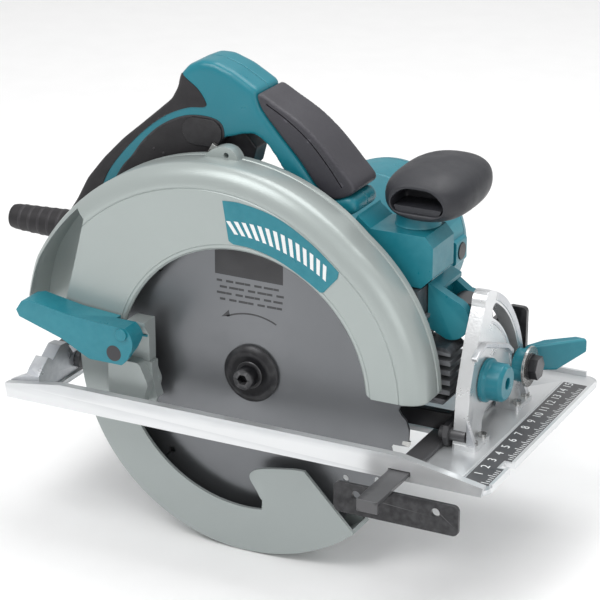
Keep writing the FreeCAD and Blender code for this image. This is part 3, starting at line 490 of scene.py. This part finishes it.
def blade_case():
    """Upper guard, open below and at the dust port, with a back disc and a lug on top."""
    case = case_shell()
    legs = [(-160, 16.7), (-160, -60), (140, -60), (140, 5.2), (84, 5.2), (79, 9), (0, -40), (-40, 16.7)]
    combine(case, prism("legs", legs, CASE_NEAR - 5, CASE_FAR + 5, CASE))
    port = [polar(case_reach(degrees) - 3.4, degrees) for degrees in range(141, 180, 3)]
    port += softened([(-121, -20), (-119.5, 20), (-117.8, 30.4), (-109.6, 59.8), (-104.5, 80),
                      (-100, 100)], 4)[6:-6]
    combine(case, prism("port", port, CASE_NEAR - 5, CASE_NEAR + RIM_ROUND[1] + 1, CASE))
    disc = lathe("case_back", [(CASE_FAR - CASE_WALL, HUB_HOLE), (CASE_FAR, HUB_HOLE), (CASE_FAR, 53),
                               (CASE_FAR - CASE_WALL, 53)], (0, 0, 0), "Y", CASE)
    combine(case, disc, "UNION")
    lug = softened([(-36, 118), (-33, 127), (-28, 132), (-21, 134.6), (-15, 133.6), (-11, 129), (-9, 118)], 3)
    combine(case, prism("lug", lug, 4, 12, CASE), "UNION")
    combine(case, prism("lug_eye", arc(1.7, 0, 340, (-18.5, 129.5), 17), 3, 13, CASE))
    modify(case, "BEVEL", width=0.7 * MM, segments=2, limit_method="ANGLE",
           angle_limit=math.radians(50), use_clamp_overlap=True)
    smooth(case, 42)
    for face in case.data.polygons:
        if abs(face.normal.y) > 0.9998:
            face.use_smooth = False
    stand_for(case, "blade_case")


def badge():
    """Teal band on the case with a plain pale pattern of slanted bars; it carries no lettering."""
    outer = through([(-10.2, 109.6), (1.5, 109.7), (18.6, 106.5), (32.7, 100.8), (49.5, 90.2), (63.4, 78.4)],
                    6, closed=False)
    inner = through([(51.8, 64.6), (42.8, 70.4), (29.8, 77.3), (18.4, 81.6), (7.0, 83.9), (-3.3, 84.4)],
                    6, closed=False)
    outline = outer + [(63.4, 78.4), (62.6, 74.6), (54.0, 64.9)] + inner + [(-3.3, 84.4), (-6.4, 86.0)]
    band = prism("case_badge", outline, CASE_NEAR - 0.45, CASE_NEAR + 0.5, TEAL)
    detail(round_edges(band, 0.15), "blade_case", "teal_plastic")
    bars = 14
    for k in range(bars):
        low_angle, high_angle = 91.5 - 2.9 * k, 94.5 - 2.9 * k
        stretch = 1.0 - 0.25 * abs(2.0 * k / (bars - 1) - 1.0)
        low, high = 94.5 - 5.0 * stretch, 94.5 + 5.0 * stretch
        bar = arc(high, high_angle, high_angle - 1.5, steps=3) + arc(low, low_angle - 1.5, low_angle, steps=3)
        detail(prism("badge_bar_%02d" % k, bar, CASE_NEAR - 0.6, CASE_NEAR - 0.3, WHITE), "blade_case")


# ---------------------------------------------------------------- lower guard
def lower_guard():
    """Swinging guard: rim, hooked near wall, far wall with its hub, and the arm to its lever."""
    near, far = -12.0, 9.8
    reach, inner = 111.0, 82.7
    wall, rim_wall, hub = 2.2, 2.4, 30
    first, last = 180.0, 310.4
    rim = arc(reach, first, last, steps=90) + arc(reach - rim_wall, last, first, steps=90)
    guard = prism("lower_guard_shell", rim, near, far, GUARD_SHADED_PAINT)
    web = arc(reach - 0.5, first, last, steps=90)
    web += softened([(56, -51.4), (34.6, -51), (15, -54.3), (6, -57), (2.5, -62), (8.3, -70),
                     (11.8, -77)], 5)[6:-3]
    web += arc(inner, -82.0, -180.0, steps=60)
    combine(guard, prism("near_web", web, near, near + wall, GUARD_SHADED_PAINT), "UNION")
    tongue = [(-109, 1), (-107, -28), (-60, -29), (-56, -10), (-62, 5), (-80, 3)]
    combine(guard, prism("tongue", softened(tongue, 2), near, near + wall, GUARD_SHADED_PAINT), "UNION")
    back = arc(reach - 0.5, first, last, steps=90) + arc(26, last, first, steps=60)
    combine(guard, prism("back_web", back, far - wall, far, GUARD_SHADED_PAINT), "UNION")
    ring = lathe("guard_hub", [(far - wall, HUB_HOLE), (far, HUB_HOLE), (far, hub), (far - wall, hub)],
                 (0, 0, 0), "Y", GUARD_SHADED_PAINT)
    combine(guard, ring, "UNION")
    block = [(-84, -26), (-84, 3), (-63, 3), (-57, -10), (-62, -26)]
    combine(guard, prism("block", softened(block, 2.5), -25, -17, GUARD_SHADED_PAINT), "UNION")
    neck = arc(79.6, 178, 200, steps=10) + arc(58, 200, 178, steps=10)
    combine(guard, prism("neck", neck, -18, near + 1, GUARD_SHADED_PAINT), "UNION")
    bridge = [(-9.8, -8), (-17.3, -8), (-17.3, 19), (-22, 25.3), (-22, 28), (-9.8, 28)]
    combine(guard, prism("bridge", bridge, -72, -60, GUARD_SHADED_PAINT, "YZ"), "UNION")
    round_edges(guard, 0.8, limit=45)
    stand_for(guard, "lower_guard")


# ---------------------------------------------------------------- blade
BLADE_REACH, TOOTH_COUNT, BLADE_HALF = 105.0, 24, 0.9
# (depth below the reach, degrees past the tooth) round one gullet and one carbide tip
GULLET = ((0.5, 0.0), (2.4, 5.6), (5.0, 8.6), (8.5, 10.2), (10.3, 11.8), (9.6, 13.3), (6.0, 13.9))
CARBIDE = ((0.0, 0.0), (0.3, 1.9), (4.6, 1.2), (4.6, -0.1))


def expansion_slot(turn):
    """Tools that cut one slanted slot and its round end through the blade."""
    slot = [polar(radius, turn + math.degrees(offset / radius))
            for radius, offset in ((83.0, -0.35), (83.0, 0.35), (97.0, 1.2), (97.0, 0.5))]
    end = arc(2.1, 0, 345, polar(82.4, turn), steps=23)
    return [prism("slot", slot, -2, 2, BLADE), prism("slot_end", end, -2, 2, BLADE)]


def saw_blade():
    """Disc with hooked carbide teeth, gullets and expansion slots."""
    turns = [tooth * 360.0 / TOOTH_COUNT for tooth in range(TOOTH_COUNT)]
    outline = [polar(BLADE_REACH - depth, turn + angle) for turn in turns for depth, angle in GULLET]
    disc = prism("saw_blade_disc", outline, -BLADE_HALF, BLADE_HALF, BLADE)
    for k in range(4):
        for tool in expansion_slot(47.8 + 90.0 * k):
            combine(disc, tool)
    round_edges(disc, 0.12, segments=1)
    stand_for(disc, "saw_blade")
    for tooth, turn in enumerate(turns):
        tip = [polar(BLADE_REACH - depth, turn + angle) for depth, angle in CARBIDE]
        carbide = prism("carbide_tip_%02d" % tooth, tip, -BLADE_HALF - 0.02, BLADE_HALF + 0.02, ZINC)
        detail(carbide, "saw_blade")


def blade_marks():
    """Plain etched panel with dashed lines and an arc with a point, all without lettering."""
    face = -BLADE_HALF
    panel = [(-24.0, 58.6), (-24.0, 73.0), (-8.0, 76.0), (20.5, 72.0), (20.5, 58.2)]
    detail(prism("blade_panel", panel, face - 0.03, face + 0.1, INK), "saw_blade")
    for row, height in enumerate((54.0, 50.2, 46.4, 42.6)):
        left = -23.0 + (row % 2) * 2.0
        for dash in range(7):
            start = left + dash * 6.2
            width = 3.6 + 1.2 * ((dash + row) % 3)
            line = [(start, height), (start + width, height), (start + width, height + 1.4),
                    (start, height + 1.4)]
            detail(prism("blade_dash_%d_%d" % (row, dash), line, face - 0.02, face + 0.1, INK), "saw_blade")
    sweep = arc(37.2, 64, 118, steps=20) + arc(36.2, 116, 64, steps=20)
    detail(prism("turning_arc", sweep, face - 0.03, face + 0.1, INK), "saw_blade")
    point = [(-20.2, 32.0), (-15.2, 37.0), (-14.4, 33.2)]
    detail(prism("turning_point", point, face - 0.03, face + 0.1, INK), "saw_blade")


def flanges():
    """Dished outer flange and the blade's bolt with its hexagon socket."""
    outer = lathe("outer_flange_dished", [
        (-0.95, 4.2), (-0.95, 17.2), (-1.4, 17.5), (-3.0, 17.5), (-3.5, 17.0), (-5.0, 14.6),
        (-5.2, 13.9), (-5.2, 11.6), (-4.9, 10.9), (-4.3, 9.2), (-4.2, 8.4), (-4.2, 4.2)],
        (0, 0, 0), "Y", BLACK)
    stand_for(smooth(outer, 50), "outer_flange")
    bolt = lathe("blade_bolt_head", [
        (-4.3, 0.0), (-4.3, 8.2), (-5.0, 8.3), (-5.3, 8.0), (-5.6, 6.6), (-12.4, 6.5), (-13.3, 5.9),
        (-13.5, 5.2), (-13.5, 0.0)], (0, 0, 0), "Y", BLACK, 48)
    socket = [polar(3.4, 60 * k) for k in range(6)]
    combine(bolt, prism("socket", socket, -14, -8.5, BLACK))
    stand_for(smooth(bolt, 40), "blade_bolt")


# ---------------------------------------------------------------- motor and gear housing
def motor_barrel():
    """Motor housing with a joint line, two brush bosses and rows of black vent slots; the black is painted shade
    of the vent openings.
    """
    x, z = MOTOR.x, MOTOR.z
    low, high = span("motor_housing", "Y")
    barrel = lathe("motor_barrel", [
        (low, 44), (low, 49.6), (low + 1.4, 51), (high - 34, 51), (high - 33.4, 50.4),
        (high - 32.4, 50.4), (high - 31.8, 51), (high - 0.5, 51), (high, 50.6), (high, 48.0),
        (low + 2, 48.0)], (x, 0, z), "Y", TEAL, 128)
    for side in (-1, 1):
        boss = [(side * 40, -10), (side * 52, -8), (side * 53, -6.5), (side * 53, 6.5), (side * 52, 8),
                (side * 40, 10)]
        outline = [(x + u, z + v) for u, v in boss]
        combine(barrel, prism("boss", outline, 167.5, 184.5, TEAL), "UNION")
        bore = lathe("brush_bore", [(x + side * 40, 5.6), (x + side * 60, 5.6), (x + side * 60, 0),
                                    (x + side * 40, 0)], (0, 176, z), "X", TEAL, 40)
        combine(barrel, bore)
    round_edges(barrel, 0.6, limit=40)
    stand_for(barrel, "motor_housing")
    # Black slots a little proud of the barrel stand for the vents: their darkness is painted shade of the
    # openings.
    for k in range(16):
        angle = 22.5 * k
        if 60 < angle % 180 < 120:
            continue
        turn = math.radians(angle)
        vent_shade = [(-1.1, 48.5), (1.1, 48.5), (1.1, 51.25), (-1.1, 51.25)]
        outline = [(x + r * math.cos(turn) - u * math.sin(turn), z + r * math.sin(turn) + u * math.cos(turn))
                   for u, r in vent_shade]
        slot = prism("motor_vent_%02d" % k, outline, 66, 92, PLASTIC)
        detail(slot, "motor_housing")


# ---------------------------------------------------------------- handle and grips
HANDLE_NEAR, HANDLE_FAR = span("handle_near_half", "Y")[0], span("handle_far_half", "Y")[1]
HANDLE = [(-142, 47), (-142, 66), (-132.4, 80.2), (-124.4, 94.9), (-113.1, 108.7), (-99.4, 122.6),
          (-86.1, 133.8), (-73, 145), (-65, 152), (-60.5, 160), (-58.6, 168.2), (-53.4, 174.1), (-44.7, 178),
          (-36.1, 178), (-23.3, 173.6), (-7.7, 164.8), (-7.4, 160.4), (-5.2, 154.2), (5.5, 141.5),
          (19.3, 126.6), (30.5, 112.5), (40.2, 106.2), (52.6, 110.7), (57.5, 103), (55, 100), (40, 91.5),
          (24, 84), (-4, 78), (-60, 52), (-100, 44)]
FINGER_LOOP = [(-8.6, 139), (-4.3, 136.4), (0, 133), (5.5, 126), (11.2, 117.4), (20, 101), (16, 93), (-4, 84),
               (-60, 72), (-84, 78), (-60, 100), (-34, 122), (-31, 134), (-23, 135.5), (-17, 138)]


def hand_shape(name, outline, low, high, round_by, material, voxel=1.1, relax=10):
    """Soft moulded body: an outline with broad rounds, remeshed and relaxed."""
    body = prism(name, outline, low, high, material)
    modify(body, "BEVEL", width=round_by * MM, segments=4, limit_method="ANGLE",
           angle_limit=math.radians(60), use_clamp_overlap=True)
    modify(body, "REMESH", mode="VOXEL", voxel_size=voxel * MM, adaptivity=0.0)
    modify(body, "SMOOTH", factor=0.5, iterations=relax)
    return smooth(body, 180)


def handle():
    """Loop handle in two halves with a seam, and its rubber areas."""
    shell = hand_shape("handle_shell", HANDLE, HANDLE_NEAR, HANDLE_FAR, 7, TEAL)
    loop = hand_shape("loop", softened(FINGER_LOOP, 6), HANDLE_NEAR - 12, HANDLE_FAR + 12, 1, TEAL, 1.6, 4)
    combine(shell, loop)
    modify(shell, "REMESH", mode="VOXEL", voxel_size=1.0 * MM, adaptivity=0.0)
    modify(shell, "SMOOTH", factor=0.5, iterations=6)
    smooth(shell, 180)
    handle_rubber(shell)
    seam = prism("seam", [(-170, 20), (80, 20), (80, 200), (-170, 200)], 36.3, 36.7, TEAL)
    ring = shell.copy()
    ring.data = shell.data.copy()
    bpy.context.scene.collection.objects.link(ring)
    modify(ring, "DISPLACE", strength=-0.5 * MM, mid_level=0.0)
    combine(seam, ring)
    combine(shell, seam)
    stand_for(shell, "handle_near_half", "handle_far_half")


def overlay(name, shell, outline, lift, material, node, slot):
    """Skin a little proud of a shell, inside an outline drawn in the XZ plane."""
    skin = shell.copy()
    skin.data = shell.data.copy()
    skin.name = name
    bpy.context.scene.collection.objects.link(skin)
    skin.data.materials[0] = material.material
    modify(skin, "DISPLACE", strength=lift * MM, mid_level=0.0)
    combine(skin, prism("outline", outline, HANDLE_NEAR - 3, HANDLE_FAR + 3, material), "INTERSECT")
    modify(skin, "BEVEL", width=0.35 * MM, segments=2, limit_method="ANGLE",
           angle_limit=math.radians(55), use_clamp_overlap=True)
    smooth(skin, 60)
    return detail(skin, node, slot)


def handle_rubber(shell):
    """Dark rubber on the trigger hand's side, either side of a teal stripe."""
    stripe_top = through([(-57, 169), (-51.9, 165.5), (-45.9, 161.2), (-41.3, 155.1), (-41.3, 151.0),
                          (-52.9, 149), (-67.6, 142.4), (-82.6, 131.1), (-97.9, 115.5), (-109, 100.3),
                          (-115, 84), (-118, 62), (-118, 40)], 5, closed=False)
    back = stripe_top + [(-118, 40), (-150, 40), (-150, 84), (-125, 112), (-92, 142), (-66, 164)]
    overlay("rear_grip_outer", shell, back, 0.4, SOFT_BLACK, "handle_near_half", "black_rubber")
    side = through([(-39.4, 145.4), (-31.4, 143), (-28.8, 137.6), (-29.6, 131), (-34, 120), (-50, 104),
                    (-84, 84), (-106, 66), (-110, 84), (-99.5, 104.8), (-91.4, 114.4), (-84, 124.3),
                    (-74.6, 133.4), (-64.1, 140.2), (-52.4, 144.6)], 5)
    overlay("rear_grip_inner", shell, side, 0.4, SOFT_BLACK, "handle_near_half", "black_rubber")
    for k, (x, z) in enumerate(((-76, 121), (-69.5, 119), (-63, 117))):
        dot = lathe("grip_dot_%d" % k, [(HANDLE_NEAR - 0.7, 0.0), (HANDLE_NEAR - 0.7, 0.5),
                                        (HANDLE_NEAR - 0.3, 0.9), (HANDLE_NEAR + 1, 0.9),
                                        (HANDLE_NEAR + 1, 0.0)], (x, 0, z), "Y", SOFT_BLACK, 20)
        detail(dot, "handle_near_half", "black_rubber")


def front_grip():
    """Rubber on the front arch, in two shades of relief with a moulded line along it."""
    outline = through([(-6.8, 163.4), (6, 157.2), (20, 149.4), (33.5, 138.6), (45.4, 126.2), (54.6, 116),
                       (52.4, 111), (40.4, 106.6), (30.7, 112.8), (19.6, 126.9), (5.8, 141.8),
                       (-5, 154.6)], 5)
    grip = hand_shape("front_grip_soft", outline, HANDLE_NEAR, HANDLE_FAR, 7, RUBBER, 1.0, 8)
    line = through([(-1, 158), (12, 150.6), (26, 140), (38, 127), (48, 114)], 8, closed=False)
    groove = [(x, z) for x, z in line] + [(x - 0.5, z - 0.6) for x, z in reversed(line)]
    combine(grip, prism("grip_line", groove, HANDLE_NEAR - 2, HANDLE_NEAR + 5, RUBBER))
    stand_for(smooth(grip, 60), "front_grip")


def knob_body(centre, half_width, half_length, half_height):
    """Egg lying along Y, fuller at its far end and cut off square at the near end."""
    x, y, z = centre
    rows, points, faces = 28, [], []
    around = 48
    for row in range(rows + 1):
        along = -0.84 + 1.838 * row / rows
        size_here = max(0.0, 1 - abs(along) ** (3.2 if along < 0 else 2.3)) ** 0.5
        drop = -1.2 * (1 - along)
        for step in range(around):
            angle = 2 * math.pi * step / around
            across, up = math.cos(angle), math.sin(angle)
            lump = (abs(across) ** 2.4 + abs(up) ** 2.4) ** (-1 / 2.4)
            points.append((x + half_width * size_here * across * lump, y + half_length * along,
                           z + drop + half_height * size_here * up * lump))
    for row in range(rows):
        for step in range(around):
            a, b = row * around + step, row * around + (step + 1) % around
            faces.append([a, b, b + around, a + around])
    faces.append(list(range(around)))
    faces.append([rows * around + k for k in reversed(range(around))])
    return add("front_knob_soft", points, faces, KNOB_RUBBER)


def front_knob():
    """Rubber knob, hollowed at the blade side for the finger tips, on a short neck."""
    low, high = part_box("front_knob")
    x, y = ((((low + high) / 2)[k] - ARBOR[k]) / MM for k in (0, 1))
    top = span("front_knob", "Z")[1]
    centre = (x, y, top - 15.2)
    knob = knob_body(centre, 26.5, 41.7, 15.0)
    z = centre[2]
    modify(knob, "REMESH", mode="VOXEL", voxel_size=0.9 * MM, adaptivity=0.0)
    modify(knob, "SMOOTH", factor=0.5, iterations=12)
    hollow = hand_shape("knob_hollow", softened([(x - 15, z - 9), (x + 15, z - 9), (x + 17, z - 2),
                                                 (x + 9, z + 5.5), (x - 9, z + 5.5), (x - 17, z - 2)], 5),
                        y - 50, y - 14, 2, KNOB_RUBBER, 0.9, 6)
    combine(knob, hollow)
    modify(knob, "REMESH", mode="VOXEL", voxel_size=0.7 * MM, adaptivity=0.0)
    modify(knob, "SMOOTH", factor=0.5, iterations=5)
    stand_for(smooth(knob, 180), "front_knob")
    foot = span("front_knob", "Z")[0]
    neck = lathe("knob_neck", [(foot, 0), (foot, 13.6), (foot + 1.2, 13.0), (z - 12, 12.4), (z - 8, 13.5),
                               (z - 8, 0)], (84, 46, 0), "Z", TEAL, 48)
    detail(smooth(neck, 50), "front_knob", "teal_plastic")
    liner = prism("knob_liner", softened([(x - 13, z - 9.2), (x + 13, z - 9.2), (x + 15, z - 5.4),
                                          (x - 15, z - 5.4)], 1), y - 33, y - 15, KNOB_RUBBER)
    detail(round_edges(liner, 0.5), "front_knob")


# ---------------------------------------------------------------- smaller details
def cooling_fins():
    """Row of ribs on the front of the gear housing."""
    for k in range(7):
        height = 5.5 + 6.0 * k
        reach = 97.0 + 0.05 * height
        rib = softened([(92, height), (reach, height), (reach, height + 2.4), (92, height + 2.4)], 0.7, 3)
        detail(prism("cooling_fin_%d" % k, rib, 19.5, 41.0, DARK_CAST), "gear_housing")


def quadrant_ledge():
    """Raised ledge over the stop knob, low rims along the bevel slot, and two foot gussets."""
    back, front = 132.8, 136.4
    ledge = [(12.0, 29.0), (17.0, 31.6), (27.5, 33.4), (62.0, 20.6), (70.0, 14.2), (68.6, 11.8), (60.8, 18.0),
             (27.0, 30.6), (18.2, 29.0), (13.4, 26.6)]
    detail(round_edges(prism("quadrant_ledge", ledge, back, front, CASTING, "YZ"), 0.5), "front_quadrant")
    centre = (BEVEL[1], BEVEL[2])
    for k, (inner, outer, low) in enumerate(((66.2, 68.0, 15.0), (80.0, 84.6, 2.0))):
        rim = arc(outer, low, 63, centre) + arc(inner, 63, low, centre)
        band = prism("quadrant_rim_%d" % k, rim, back, back + 0.7, CASTING, "YZ")
        detail(round_edges(band, 0.4), "front_quadrant")
    for k, (left, right) in enumerate(((8.5, 12.0), (89.5, 93.0))):
        web = [(132.5, -26.0), (138.6, -24.0), (132.5, -8.0)]
        gusset = prism("quadrant_gusset_%d" % k, web, left, right, CASTING, "XZ")
        detail(round_edges(gusset, 0.5), "front_quadrant")


def scale_marks():
    """White ticks and numbers along the rip scale."""
    low_x, high_x = span("scale_strip", "X")
    near, far = span("scale_strip", "Y")
    top = span("scale_strip", "Z")[1]
    count = int((far - near - 4) / 2.5)
    for k in range(count):
        y = near + 2 + 2.5 * k
        if abs(y) < 7.5:
            continue
        length = 4.6 if k % 4 == 0 else 2.6
        tick = [(high_x - 1.0 - length, y - 0.28), (high_x - 1.0, y - 0.28), (high_x - 1.0, y + 0.28),
                (high_x - 1.0 - length, y + 0.28)]
        detail(prism("scale_tick_%02d" % k, tick, top - 0.05, top + 0.06, WHITE, "XY"), "scale_strip")
    for number in range(1, 16):
        y = near + 2 + 10.0 * number
        text = bpy.data.curves.new("scale_number_%02d" % number, "FONT")
        text.body = str(number)
        text.size = 7.4 * MM
        text.extrude = 0.05 * MM
        text.align_x = "CENTER"
        text.align_y = "CENTER"
        text.materials.append(WHITE.material)
        figure = bpy.data.objects.new("scale_number_%02d" % number, text)
        figure.location = place(low_x + 4.6, y, top + 0.02)
        figure.rotation_euler = (0, 0, math.radians(90))
        bpy.context.scene.collection.objects.link(figure)
        detail(figure, "scale_strip")


def guard_lever_eye():
    """Black disc on the guard's lever: painted shade standing for the dark hole there."""
    face = span("guard_lever", "Y")[0]
    ring = lathe("lever_eye", [(face - 0.05, 0.0), (face - 0.05, 4.9), (face + 0.8, 5.1), (face + 0.8, 0.0)],
                 (-73.8, 0, 11.1), "Y", PLASTIC, 40)
    detail(smooth(ring, 40), "guard_lever", "black_plastic")


def cord_guard_ribs():
    """Rings moulded round the cord guard."""
    centre = (0, 36, 57)
    for k in range(5):
        x = -180.0 + 7.0 * k
        radius = 7.95 + 1.5 * k / 5
        ring = lathe("guard_rib_%d" % k, [(x, radius - 1.2), (x, radius), (x + 0.7, radius + 0.45),
                                          (x + 2.0, radius + 0.45), (x + 2.7, radius + 0.1),
                                          (x + 2.7, radius - 1.2)], centre, "X", SOFT_BLACK, 48)
        detail(smooth(ring, 50), "cord_guard")


def base_edges():
    """Long raised bead beside the scale."""
    top = span("base_plate", "Z")[0] + 3.0
    bead = prism("base_bead", [(144.6, -30), (145.8, -30), (145.8, 128), (144.6, 128)], top - 0.2, top + 0.7,
                 BRIGHT, "XY")
    detail(round_edges(bead, 0.25), "base_plate")


# ---------------------------------------------------------------- build everything
blade_case()
badge()
lower_guard()
saw_blade()
blade_marks()
flanges()
motor_barrel()
handle()
front_grip()
front_knob()
cooling_fins()
quadrant_ledge()
scale_marks()
guard_lever_eye()
cord_guard_ribs()
base_edges()
ROUNDED = {"base_plate": (0.5, BRIGHT), "front_quadrant": (0.9, CASTING), "rear_bracket": (0.9, CASTING),
           "tilt_frame": (0.5, BLACK), "rule_bar": (0.35, BLACK), "rule_fence": (0.35, BLACK),
           "rule_bridge": (0.4, BLACK), "bevel_lever": (1.0, TEAL), "guard_lever": (1.6, TEAL),
           "gear_housing": (0.8, DARK_CAST), "front_arm": (0.8, TEAL), "front_cowl": (1.6, TEAL),
           "motor_end_cover": (0.6, TEAL), "stop_knob": (0.5, TEAL), "depth_guide": (0.4, ZINC),
           "trigger": (1.0, PLASTIC), "lock_off_button": (0.9, PLASTIC), "depth_lever": (0.8, TEAL),
           "cord_guard": (0.5, SOFT_BLACK), "bevel_bolt_head": (0.4, BLACK), "bevel_washer": (0.25, ZINC),
           "rule_clamp_screw": (0.5, BLACK), "lever_screw": (0.3, TEAL)}
for node, (width, finish) in ROUNDED.items():
    softened_node(node, width, finish)
for node, obj in frame["nodes"].items():
    obj.data.materials.clear()
    obj.data.materials.append(SLOTS[NODE_SLOT[node]].material)


# ---------------------------------------------------------------- studio
def floor():
    """Pale studio floor just under the object."""
    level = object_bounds()[0][2] - 0.0005
    bpy.ops.mesh.primitive_plane_add(size=8, location=(0, 0, level))
    plane = bpy.context.object
    plane.name = "studio_floor"
    paper = Surface("studio_paper", srgb(246, 246, 246), roughness=0.85, uneven=0.01, bump=0.03)
    plane.data.materials.append(paper.material)


def area_light(name, location, aim, size, power):
    """Rectangular lamp that points at a place."""
    data = bpy.data.lights.new(name, "AREA")
    data.shape = "RECTANGLE"
    data.size, data.size_y = size
    data.energy = power
    lamp = bpy.data.objects.new(name, data)
    lamp.location = location
    lamp.rotation_euler = (Vector(aim) - Vector(location)).to_track_quat("-Z", "Y").to_euler()
    bpy.context.scene.collection.objects.link(lamp)


def lights():
    """Soft key, fill and top lamps with an even white surround."""
    area_light("key", (-0.4, -1.0, 1.5), (0, 0, 0.05), (1.0, 1.0), 15)
    area_light("fill", (1.4, -1.2, 0.7), (0, 0, 0.05), (1.2, 1.0), 5.5)
    area_light("top", (0.2, 0.5, 1.6), (0, 0, 0.05), (1.4, 1.0), 15)
    world = bpy.data.worlds.new("studio")
    world.use_nodes = True
    world.node_tree.nodes["Background"].inputs["Color"].default_value = (1, 1, 1, 1)
    world.node_tree.nodes["Background"].inputs["Strength"].default_value = 0.6
    bpy.context.scene.world = world
    bpy.context.scene.view_settings.view_transform = "Standard"


def camera():
    """Camera 1.4 m from the blade's centre, at the photograph's angle."""
    distance, around, above = 1.4, math.radians(28.05), math.radians(22.84)
    back = Vector((math.sin(around) * math.cos(above), -math.cos(around) * math.cos(above),
                   math.sin(above)))
    right = Vector((math.cos(around), math.sin(around), 0))
    up = back.cross(right)
    data = bpy.data.cameras.new("camera")
    data.lens = 142.9
    data.sensor_width = 36
    aim = ARBOR + right * 0.028 + up * 0.0422
    eye = bpy.data.objects.new("camera", data)
    eye.location = ARBOR + back * distance
    eye.rotation_euler = (aim - eye.location).to_track_quat("-Z", "Y").to_euler()
    bpy.context.scene.collection.objects.link(eye)
    bpy.context.scene.camera = eye


floor()
lights()
camera()
